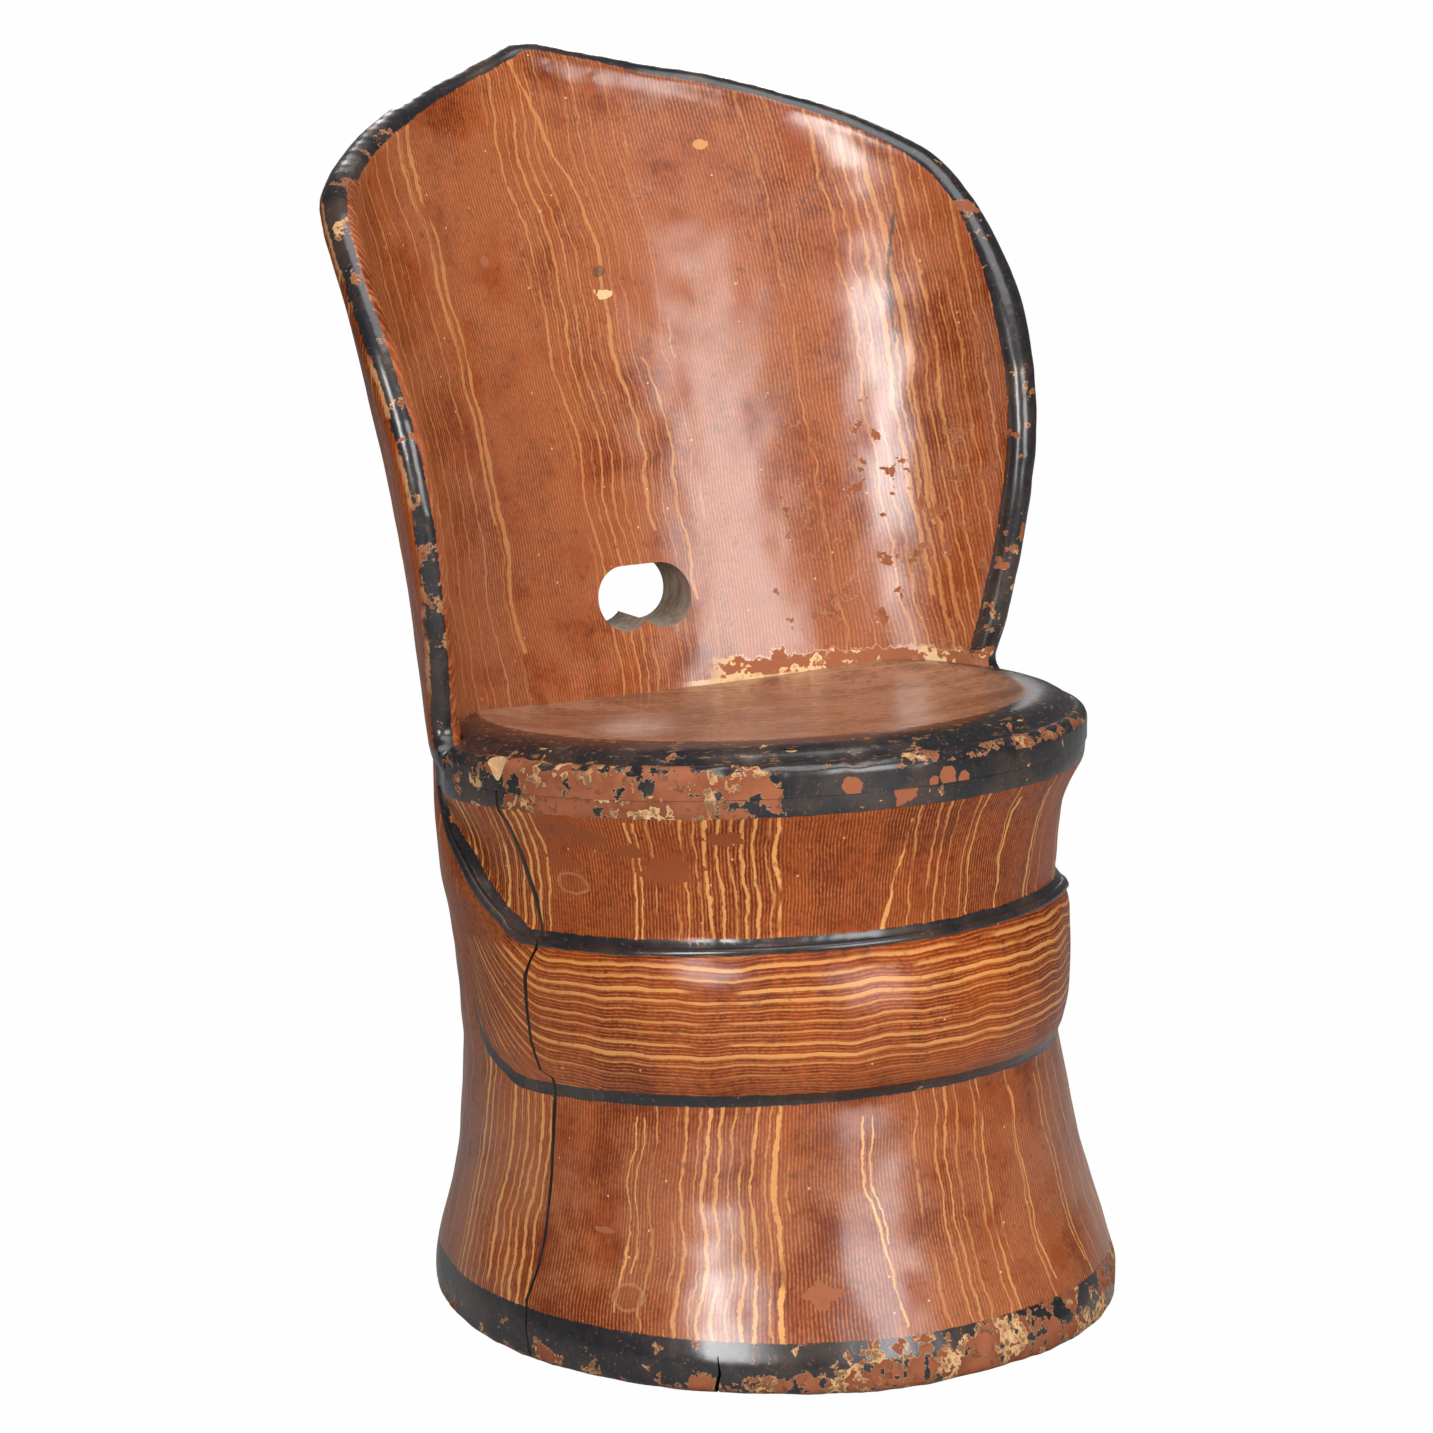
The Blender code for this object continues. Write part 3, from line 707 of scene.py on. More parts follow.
# Measures stored on the log's vertices, so that the painted borders follow the carving
border = {"downWall": ((0.45, 0.004), (0.62, 0.001), (0.73, -0.003), (0.84, -0.003)),
          "innerLeft": ((0.70, -0.0035), (0.75, -0.0085), (0.78, -0.03)), "innerRight": -0.03,
          "outer": 0.009, "reach": 0.05, "near": 0.045, "above": 0.37, "frontDepth": 0.19,
          "innerFrom": 0.34, "overShoulder": 0.004, "overLip": 0.03, "arrisTo": 0.002,
          "fadeFrom": 0.196, "fade": 0.16, "fadeBehind": 0.03,
          "crease": ((-0.010, 0.1762), (0.006, 0.1768), (0.024, 0.182), (0.041, 0.190), (0.055, 0.207),
                     (0.061, 0.222))}


def store(obj, name, values):
    layer = obj.data.attributes.new(name, "FLOAT", "POINT")
    layer.data.foreach_set("value", np.ascontiguousarray(values, dtype=np.float32))


def edgeAxes():   # along the edge of the back: place, way down the wall and way out of it
    rows = []
    path = edgeLine()
    for k, spot in enumerate(path):
        along = (path[min(k + 1, len(path) - 1)] - path[max(k - 1, 0)]).normalized()
        halfWidth, widest, middle = backRow(spot.z, 0)
        higher = backRow(spot.z + 0.01, 0)
        turn = atan2(spot.x / halfWidth, (spot.y - widest) / (middle - widest))
        upY = higher[1] + (higher[2] - higher[1]) * cos(turn) - spot.y
        up = Vector((higher[0] * sin(turn) - spot.x, upY, 0.01))
        level = Vector((cos(turn) * halfWidth, -(middle - widest) * sin(turn), 0))
        out = up.cross(level).normalized()
        out *= 1 if out.dot(Vector((spot.x, spot.y - widest, 0))) > 0 else -1
        down = out.cross(along).normalized()
        down *= 1 if down.dot(Vector((0, 0.1, 0.45)) - spot) > 0 else -1
        rows.append((spot, down, out))
    return [np.array([row[k] for row in rows]) for k in range(3)]


def storeLogMeasures(obj):
    spots = readPlaces(obj)
    spots[:, 1] += setBack
    x, y, z = spots.T
    levelled = np.clip(z, back[0][0], back[-1][0])
    grid = np.linspace(back[0][0], back[-1][0], 120)
    wall = np.array([backRow(level, 0) for level in grid])
    halfWidth, widest, middle = (np.interp(levelled, grid, wall[:, k]) for k in range(3))
    depth = np.where(y > widest, middle - widest, widest + border["frontDepth"])
    behind = (y > seat["shoulder"] - border["overShoulder"]) | (z > seat["lip"] + border["overLip"])
    inner = (np.hypot(x / halfWidth, (y - widest) / depth) < 1) & (z > border["innerFrom"]) & behind
    store(obj, "inner", inner.astype(float))
    lines, downward, out = edgeAxes()
    edge = np.full(len(z), border["reach"])
    arris = edge.copy()
    high = np.flatnonzero(z > border["above"])
    for part in np.array_split(high, 40):
        away = spots[part][:, None, :] - lines[None]
        near = np.argmin((away ** 2).sum(2), axis=1)
        rows = np.arange(len(part))
        sunk = (away[rows, near] * downward[near]).sum(1)
        outward = (away[rows, near] * out[near]).sum(1)
        far = np.sqrt((away[rows, near] ** 2).sum(1))
        level = lines[near][:, 2]
        down = np.interp(level, *zip(*border["downWall"]))
        left = np.interp(level, *zip(*border["innerLeft"]))
        inward = np.where(lines[near][:, 0] < 0, left, border["innerRight"])
        limits = np.maximum(np.maximum(sunk - down, inward - outward), outward - border["outer"])
        off = far > border["near"]
        edge[part] = np.where(off, border["reach"], limits)
        off = off | (sunk > border["arrisTo"])
        arris[part] = np.where(off, border["reach"], outward - border["outer"])
    store(obj, "edgePaint", edge)
    store(obj, "edgeArris", arris)
    store(obj, "girdleGap", lineGap(girdleLine(), y, z))
    crease = [(-reach, border["crease"][0][1] + slope * reach), *border["crease"]]
    store(obj, "creaseGap", lineGap(crease, y, z))
    fade = np.clip((z - border["fadeFrom"]) * border["fade"], 0, 1)
    store(obj, "creaseFade", fade * (y > border["fadeBehind"]))


def sortFaces(obj):   # the hollow and the sawn foot are left bare, and the back has its own paint
    centres = np.empty(len(obj.data.polygons) * 3)
    obj.data.polygons.foreach_get("center", centres)
    x, y, z = centres.reshape(-1, 3).T
    y = y + setBack
    wall = seat["footWall"] / 2
    columns = list(zip(*base))
    halfWidth, widest, rear, front = (np.interp(z, columns[0], column) for column in columns[1:5])
    depth = np.where(y > widest, rear - widest - wall, widest - front - wall)
    inside = np.hypot(x / (halfWidth - wall), (y - widest) / depth) < 1
    raw = ((z < trunk["bareBelow"]) & inside) | (z < trunk["sawnTo"])
    index = np.zeros(len(obj.data.polygons), dtype=np.int32)
    obj.data.polygons.foreach_get("material_index", index)
    index[raw] = 1
    layer = obj.data.attributes["inner"].data
    faces = [[layer[v].value for v in f.vertices] for f in obj.data.polygons]
    insideBack = np.array([sum(values) > len(values) / 2 for values in faces])
    index[(index == 0) & insideBack] = 3
    obj.data.polygons.foreach_set("material_index", index)


# A few short names for building finishes out of nodes
tree = None


def startFinish(mat):
    global tree
    mat.use_nodes = True
    tree = mat.node_tree
    return tree.nodes["Principled BSDF"]


def feed(socket, value):
    if isinstance(value, bpy.types.NodeSocket):
        tree.links.new(value, socket)
    else:
        socket.default_value = value


def node(kind, values=(), **settings):
    made = tree.nodes.new("ShaderNode" + kind)
    for key, setting in settings.items():
        setattr(made, key, setting)
    for socket, value in zip(made.inputs, values):
        feed(socket, value)
    return made


def calc(operation, *values):
    return node("Math", values, operation=operation).outputs[0]


def chained(operation, first, others):
    for other in others:
        first = calc(operation, first, other)
    return first


def plus(first, *others):
    return chained("ADD", first, others)


def times(first, *others):
    return chained("MULTIPLY", first, others)


def highest(first, *others):
    return chained("MAXIMUM", first, others)


def minus(a, b):
    return calc("SUBTRACT", a, b)


def without(a, b):   # a, less where b is
    return times(a, minus(1.0, b))


def ramp(value, low, high):
    return node("MapRange", (value, low, high, 0.0, 1.0), interpolation_type="SMOOTHSTEP").outputs[0]


def vec(x, y, z):
    return node("CombineXYZ", (x, y, z)).outputs[0]


def noiseAt(vector, scale, detail=1.0, rough=0.5):
    made = node("TexNoise")
    for name, value in (("Vector", vector), ("Scale", scale), ("Detail", detail), ("Roughness", rough)):
        feed(made.inputs[name], value)
    return made.outputs["Fac"]


def about(value, amount):   # a noise brought about nought
    return times(minus(value, 0.5), amount)


def sway(vector, scale, amount, detail=1.0):
    return about(noiseAt(vector, scale, detail), amount)


def sharedNoises(place):   # the few noises that the rest of a finish is made from
    drawn = node("VectorMath", (place, (1.0, 1.0, 0.16)), operation="MULTIPLY").outputs[0]
    return {"streak": noiseAt(drawn, 22.0, 3.0, 0.68),
            "drift": noiseAt(place, 7.0, 3.0, 0.6), "mottle": noiseAt(place, 25.0, 3.0, 0.62),
            "flake": noiseAt(place, 64.0, 4.0, 0.62), "fine": noiseAt(place, 150.0, 2.0, 0.6),
            "dust": noiseAt(place, 370.0, 1.0)}


def randomOf(value, seed=0.0):
    made = node("TexWhiteNoise", noise_dimensions="1D")
    feed(made.inputs["W"], plus(value, seed))
    return made.outputs["Value"]


def dotsAt(vector, scale, size, share):   # small round specks, in a share of the cells
    made = node("TexVoronoi", feature="F1")
    feed(made.inputs["Vector"], vector)
    feed(made.inputs["Scale"], scale)
    picked = calc("LESS_THAN", node("SeparateColor", (made.outputs["Color"],)).outputs[0], share)
    return times(ramp(made.outputs["Distance"], size, size * 0.6), picked)


def mixColour(factor, a, b):
    made = node("Mix", data_type="RGBA")
    feed(made.inputs[0], factor)
    for socket, value in ((made.inputs[6], a), (made.inputs[7], b)):
        feed(socket, (*value, 1) if isinstance(value, tuple) else value)
    return made.outputs[2]


def layered(colour, *layers):   # colours laid over each other, each as thick as given
    for amount, tone in layers:
        colour = mixColour(amount, colour, tone)
    return colour


def mixValue(factor, a, b):
    made = node("Mix", data_type="FLOAT")
    feed(made.inputs[0], factor)
    feed(made.inputs[2], a)
    feed(made.inputs[3], b)
    return made.outputs[0]


def stored(name):
    return node("Attribute", attribute_name=name).outputs["Fac"]


def curveOf(value, low, high, rows):   # how much of something there is, from low to high
    made = node("FloatCurve", (1.0, calc("DIVIDE", minus(value, low), high - low)))
    points = made.mapping.curves[0].points
    points[0].location = (0, rows[0][1])
    points[1].location = (1, rows[-1][1])
    for spot, amount in rows:
        points.new((spot - low) / (high - low), amount)
    for point in points:
        point.handle_type = "VECTOR"
    made.mapping.update()
    return made.outputs[0]


def spotAt(place, wobble, centre, across, high):   # 0 at the middle of a spot, 1 at its edge
    centre = (centre[0], centre[1] - setBack, centre[2])
    away = node("VectorMath", (place, centre), operation="SUBTRACT").outputs[0]
    shaped = node("VectorMath", (away, (1 / across, 1 / across, 1 / high)), operation="MULTIPLY").outputs[0]
    far = node("VectorMath", (shaped,), operation="LENGTH").outputs["Value"]
    return plus(far, wobble)


paint = {
    "glazeDark": (0.140, 0.021, 0.0035), "glazeLight": (0.258, 0.046, 0.0075),
    # the dusty tone is a paler tone, partly dust and partly painted sheen on the base and inside the back
    "ground": (0.49, 0.143, 0.030), "dustAndSheen": (0.42, 0.175, 0.085), "gold": (0.70, 0.32, 0.095),
    "black": (0.0125, 0.0125, 0.0150), "worn": (0.052, 0.034, 0.027),
    "primer": (0.32, 0.105, 0.050), "primerDark": (0.20, 0.060, 0.028), "curled": (0.50, 0.27, 0.14),
    "cream": (0.70, 0.45, 0.23), "creamDark": (0.46, 0.24, 0.11),
    "filler": (0.26, 0.062, 0.016), "dirt": (0.050, 0.030, 0.020),
    "glazeRough": 0.40, "blackRough": 0.38, "chipRough": 0.75, "roughSpread": 0.30,
    "specular": 0.10, "coatRough": 0.24, "coatIor": 1.62, "varnish": 0.85, "thinVarnish": 0.28,
    "combTurn": 360 / 562, "lineTurn": 360 / 176, "girdlePitch": 0.0073, "combPitch": 0.0023,
    "logLineWidth": 0.24, "backLineWidth": 0.15, "bump": 0.001,
}
# the black borders: gaps to their lines and heights, in metres
borderLines = {"edge": 0.0006, "rimFrom": 0.3652, "rimTo": 0.3960, "beadTop": 0.0046,
               "beadFoot": -0.0056, "crease": 0.0046, "creaseShift": 0.0005, "foot": 0.0352,
               "arris": 0.0014, "soft": 0.0008}
# flakes: the noise level where they begin, how far wear lowers it, their edges and how deep they lie
wear = {"from": 0.82, "lowered": 0.40, "sharp": 0.006, "rimFrom": 0.014, "rimTo": 0.008,
        "deepFrom": 0.565, "deepTo": 0.580, "blackHigh": 0.05, "chipDeep": 0.10, "bareDeep": 0.12}

# how worn the painted edge of the back is, by height, on the sitter's right and left
wornRight = ((0.36, 0.50), (0.42, 0.56), (0.445, 0.44), (0.47, 0.56), (0.53, 0.54), (0.57, 0.34),
             (0.62, 0.46), (0.66, 0.28), (0.70, 0.56), (0.76, 0.68), (0.785, 0.30), (0.84, 0.24))
wornLeft = ((0.36, 0.36), (0.42, 0.54), (0.45, 0.62), (0.50, 0.58), (0.55, 0.44), (0.60, 0.56),
            (0.64, 0.28), (0.69, 0.28), (0.725, 0.70), (0.75, 0.36), (0.77, 0.36), (0.84, 0.24))

# how thickly the golden lines stand, by angle from the front, and inside the back by angle from the rear
logLines = ((-180, 0.45), (-150, 0.2), (-135, 0.6), (-112, 0.5), (-97, 0.35), (-94, 1), (-73, 1),
            (-70, 0.04), (-46, 0.04), (-44.5, 1), (-28, 1), (-26, 0.03), (-4, 0.03), (-2, 0.8),
            (11, 0.95), (13, 0.25), (43, 0.22), (46, 0.55), (62, 0.7), (75, 0.3), (98, 0.8),
            (120, 0.3), (150, 0.6), (180, 0.45))
backLines = ((-180, 0.5), (-78, 0.6), (-64, 0.9), (-42, 0.75), (-30, 0.08), (-17, 0.05), (-14, 0.85),
             (9, 0.9), (13, 0.3), (17, 0.06), (40, 0.06), (43, 0.8), (56, 0.85), (62, 0.7), (80, 0.7),
             (180, 0.5))


def goldLines(phase, weight, along, width, seed):   # intensity of wavy lines that stand one phase apart
    index = calc("FLOOR", phase)
    first, second = randomOf(index, seed), randomOf(index, seed + 31.7)
    taper = noiseAt(vec(times(index, 3.1), along, 0.0), 18.0, 2.0)
    off = calc("ABSOLUTE", plus(minus(calc("FRACT", phase), 0.5), times(minus(second, 0.5), 0.3)))
    half = times(plus(0.45, times(second, second, 0.65)), plus(taper, 0.25), width)
    line = ramp(off, plus(half, 0.040), minus(half, 0.040))
    kept = times(calc("LESS_THAN", first, weight), plus(0.50, times(second, 0.50)))
    return times(line, kept, ramp(taper, 0.30, 0.44))


def singleLine(turn, along, taper, top, bottom, width):   # a bold line: height and angle of its ends
    (topAt, topTurn), (bottomAt, bottomTurn) = top, bottom
    lean = (topTurn - bottomTurn) / (topAt - bottomAt)
    off = calc("ABSOLUTE", minus(turn, plus(times(minus(along, bottomAt), lean), bottomTurn)))
    half = times(minus(taper, 0.12), width * 0.62)
    line = ramp(off, plus(half, 0.09), minus(half, 0.09))
    fromMiddle = calc("ABSOLUTE", minus(along, (topAt + bottomAt) / 2))
    inside = calc("LESS_THAN", fromMiddle, (topAt - bottomAt) / 2)
    return times(line, inside, ramp(taper, 0.25, 0.40))


# bold lines: height and angle of the upper end, of the lower end, and width
logSingles = (((0.37, -53.9), (0.28, -53.9), 1.0), ((0.37, -52.5), (0.28, -52.7), 0.7),
              ((0.17, -53.8), (0.045, -54.2), 0.7), ((0.17, -52.4), (0.07, -52.6), 0.5),
              ((0.37, -4.0), (0.28, -9.0), 1.5), ((0.172, -13.2), (0.04, -10.0), 0.8),
              ((0.172, -11.5), (0.09, -10.2), 0.6), ((0.172, 20.0), (0.045, 21.0), 0.8),
              ((0.172, 29.5), (0.045, 31.0), 0.7), ((0.37, 21.0), (0.28, 19.0), 1.2),
              ((0.37, 31.0), (0.28, 30.0), 1.2), ((0.172, 40.5), (0.05, 42.0), 0.7))
backSingles = (((0.80, -34.0), (0.43, -34.4), 1.9), ((0.80, -36.4), (0.52, -35.9), 1.5),
               ((0.84, -9.0), (0.745, -1.0), 1.2), ((0.745, -1.0), (0.50, -0.2), 1.5),
               ((0.80, 46.0), (0.45, 46.6), 1.5), ((0.79, 49.5), (0.50, 49.0), 1.2),
               ((0.62, 5.0), (0.45, 6.5), 1.0))

# flakes, knots and mended places: place on the log, half width and half height in metres
fillerSpots = (((-0.205, -0.052, 0.360), 0.010, 0.0065), ((-0.191, -0.0735, 0.356), 0.012, 0.0065),
               ((-0.174, -0.093, 0.348), 0.012, 0.0042), ((-0.155, -0.111, 0.3375), 0.019, 0.0080),
               ((-0.131, -0.1415, 0.361), 0.011, 0.0045), ((-0.200, -0.050, 0.335), 0.012, 0.0040))
logFlakes = (((-0.0915, -0.197, 0.062), 0.0065, 0.0115), ((-0.0900, -0.1965, 0.0640), 0.0150, 0.0042),
             ((0.0483, -0.2018, 0.0842), 0.0030, 0.0040), ((-0.191, -0.0886, 0.0945), 0.0070, 0.0020),
             ((-0.0255, -0.192, 0.391), 0.0075, 0.009))
backFlakes = (((-0.094, 0.239, 0.695), 0.0036, 0.0040),)
rimSpots = (((-0.0616, -0.1854, 0.3965), 0.0065, 0.0065), ((0.0069, -0.1937, 0.3957), 0.0065, 0.0070),
            ((-0.004, -0.1925, 0.3935), 0.0040, 0.0060), ((0.020, -0.1925, 0.3930), 0.0045, 0.0050))
logWoods = (((-0.193, -0.087, 0.3875), 0.012, 0.005),)
backPatches = (((0.098, 0.267, 0.765), 0.0060, 0.0034), ((0.0016, 0.2473, 0.681), 0.0050, 0.0040))
backCracks = (((0.2085, 0.180, 0.7155), (0.199, 0.172, 0.677)),
              ((0.199, 0.172, 0.677), (0.195, 0.156, 0.628)))
backWoods = (((0.003, 0.2417, 0.665), 0.0062, 0.0042),)
knotSpots = (((-0.192, -0.052, 0.321), 0.0115, 0.0068), ((-0.190, -0.116, 0.0555), 0.0105, 0.0082))


def crackAt(place, wobble, start, end):   # 1 on a hair crack between two places
    start, end = [Vector((p[0], p[1] - setBack, p[2])) for p in (start, end)]
    line = end - start
    away = node("VectorMath", (place, start), operation="SUBTRACT").outputs[0]
    share = node("VectorMath", (away, line / line.length_squared), operation="DOT_PRODUCT").outputs["Value"]
    share = calc("MINIMUM", calc("MAXIMUM", share, 0.0), 1.0)
    along = node("VectorMath", (line, vec(share, share, share)), operation="MULTIPLY").outputs[0]
    far = node("VectorMath", (away, along), operation="DISTANCE").outputs["Value"]
    return ramp(plus(far, wobble), 0.0022, 0.0012)


def anySpot(place, noises, spots, wobble):
    shared = plus(about(noises["fine"], wobble * 2.6), about(noises["flake"], wobble * 2.6))
    return highest(*[ramp(spotAt(place, shared, *spot), 1.06, 0.98) for spot in spots])


def roughen(shader, height):
    bump = node("Bump")
    bump.inputs["Distance"].default_value = paint["bump"]
    feed(bump.inputs["Height"], height)
    tree.links.new(bump.outputs[0], shader.inputs["Normal"])


# black borders over the graining, then what has come off: primer, and bare wood in the deepest flakes
def wornFinish(shader, noises, colour, black, chipAmount, gloss, comb, bare, varnish=paint["varnish"]):
    fine, mottle = noises["fine"], noises["mottle"]
    flake = plus(noises["flake"], plus(about(noises["drift"], 0.25), about(fine, 0.10)))
    level = minus(wear["from"], times(chipAmount, wear["lowered"]))
    chipped = times(ramp(flake, level, plus(level, wear["sharp"])), black)
    rimmed = times(ramp(flake, minus(level, wear["rimFrom"]), minus(level, wear["rimTo"])), black)
    deep = times(ramp(plus(mottle, about(fine, 0.8)), wear["deepFrom"], wear["deepTo"]), chipped)
    blackTone = mixColour(ramp(mottle, 0.42, 0.72), paint["black"], paint["worn"])
    blackTone = mixColour(times(ramp(noises["dust"], 0.62, 0.76), 0.30), blackTone, paint["primer"])
    primer = mixColour(ramp(mottle, 0.35, 0.65), paint["primer"], paint["primerDark"])
    bareWood = mixColour(ramp(fine, 0.35, 0.65), paint["cream"], paint["creamDark"])
    dirty = times(ramp(fine, 0.54, 0.66), 0.6, highest(chipped, times(black, 0.4)))
    colour = layered(colour, (black, blackTone), (chipped, primer),
                     (times(without(rimmed, chipped), 0.8), paint["creamDark"]),
                     (deep, bareWood), (dirty, paint["dirt"]))
    feed(shader.inputs["Base Color"], colour)
    flaked = highest(chipped, bare)
    rough = mixValue(black, gloss, plus(paint["blackRough"], about(mottle, 0.25)))
    feed(shader.inputs["Roughness"], mixValue(flaked, rough, paint["chipRough"]))
    shader.inputs["Specular IOR Level"].default_value = paint["specular"]
    shader.inputs["Coat Roughness"].default_value = paint["coatRough"]
    shader.inputs["Coat IOR"].default_value = paint["coatIor"]
    varnish = highest(times(black, paint["varnish"]), varnish)
    feed(shader.inputs["Coat Weight"], times(minus(1.0, flaked), varnish))
    height = plus(about(mottle, 0.9), plus(about(fine, 0.30), times(comb, 0.045)),
                  times(black, wear["blackHigh"]))
    roughen(shader, minus(height, plus(times(chipped, wear["chipDeep"]), times(bare, wear["bareDeep"]))))


def wornEdge(x, z):   # how worn the edge of the back is
    left, right = curveOf(z, 0.3, 0.9, wornLeft), curveOf(z, 0.3, 0.9, wornRight)
    return mixValue(calc("GREATER_THAN", x, 0.0), right, left)


def combing(noises, turn, wander):   # fine upright lines, about 2 mm apart
    fine = plus(turn, plus(times(wander, 0.35), about(noises["mottle"], 0.7)))
    return calc("SINE", times(fine, 2 * pi / paint["combTurn"]))


def fineLines(noises, comb):   # broken up, strong in some drifts and faint in others
    patchy = ramp(noises["mottle"], 0.28, 0.60)
    return times(ramp(plus(comb, about(noises["dust"], 2.6)), -0.1, 1.1), plus(0.30, times(patchy, 0.70)))


# the dust share lays a paler tone over the glaze, partly dust and partly painted sheen
def glazed(noises, comb, gold, spots, dust):   # the glaze over its pale ground, darker in drifts
    tone = plus(noises["drift"], plus(about(noises["streak"], 1.1), about(noises["fine"], 0.9)))
    glaze = mixColour(ramp(tone, 0.26, 0.66), paint["glazeDark"], paint["glazeLight"])
    dustAndSheenPatches = ramp(plus(noises["drift"], about(noises["mottle"], 0.8)), 0.30, 0.62)
    return layered(glaze, (without(times(comb, 0.80), spots), paint["ground"]),
                   (without(gold, spots), paint["gold"]), (times(dust, dustAndSheenPatches), paint["dustAndSheen"]),
                   (times(spots, 0.9), paint["filler"]))


def aged(place, noises, colour):   # small flakes down to the ground, and grime
    colour = mixColour(times(dotsAt(place, 80.0, 0.080, 0.34), 0.8), colour, paint["cream"])
    grime = times(ramp(plus(noises["fine"], about(noises["flake"], 0.6)), 0.60, 0.80), 0.45)
    return mixColour(grime, colour, paint["dirt"])


def tornEdge(noises):
    return plus(about(noises["flake"], 0.0036), about(noises["dust"], 0.0016))


def under(value, line):   # 1 below a border's line
    return ramp(value, borderLines[line], borderLines[line] - borderLines["soft"])


def beyond(value, line):   # 1 above it
    return ramp(value, borderLines[line], borderLines[line] + borderLines["soft"])


def edgeBlack(torn):   # the painted edge of the back, on both its sides
    return under(plus(stored("edgePaint"), torn), "edge")


def whereOnChair():   # with the place behind the foot's middle and the height on the seat's tilt
    place = node("TexCoord").outputs["Object"]
    x, y, z = node("SeparateXYZ", (place,)).outputs[:3]
    foot = plus(y, setBack)
    return place, x, y, z, foot, plus(z, times(foot, slope)), sharedNoises(place)


def turnOf(x, ahead):   # in degrees
    return times(calc("ARCTAN2", x, ahead), 180 / pi)


def wandering(noises, x, y, z, amount):
    slow = vec(times(x, 0.35), times(y, 0.35), z)
    return plus(sway(slow, 15.0, amount), about(noises["flake"], 2.0))


def graining(turn, wavy, z, taperScale, rows, width, singles):   # golden lines in bands, and bold ones
    weight = curveOf(turn, -180.0, 180.0, rows)
    gold = goldLines(calc("DIVIDE", wavy, paint["lineTurn"]), weight, z, width, 3.0)
    taper = noiseAt(vec(times(turn, 0.004), z, 0.0), taperScale, 2.0)
    return highest(gold, *[singleLine(wavy, z, taper, *line) for line in singles])


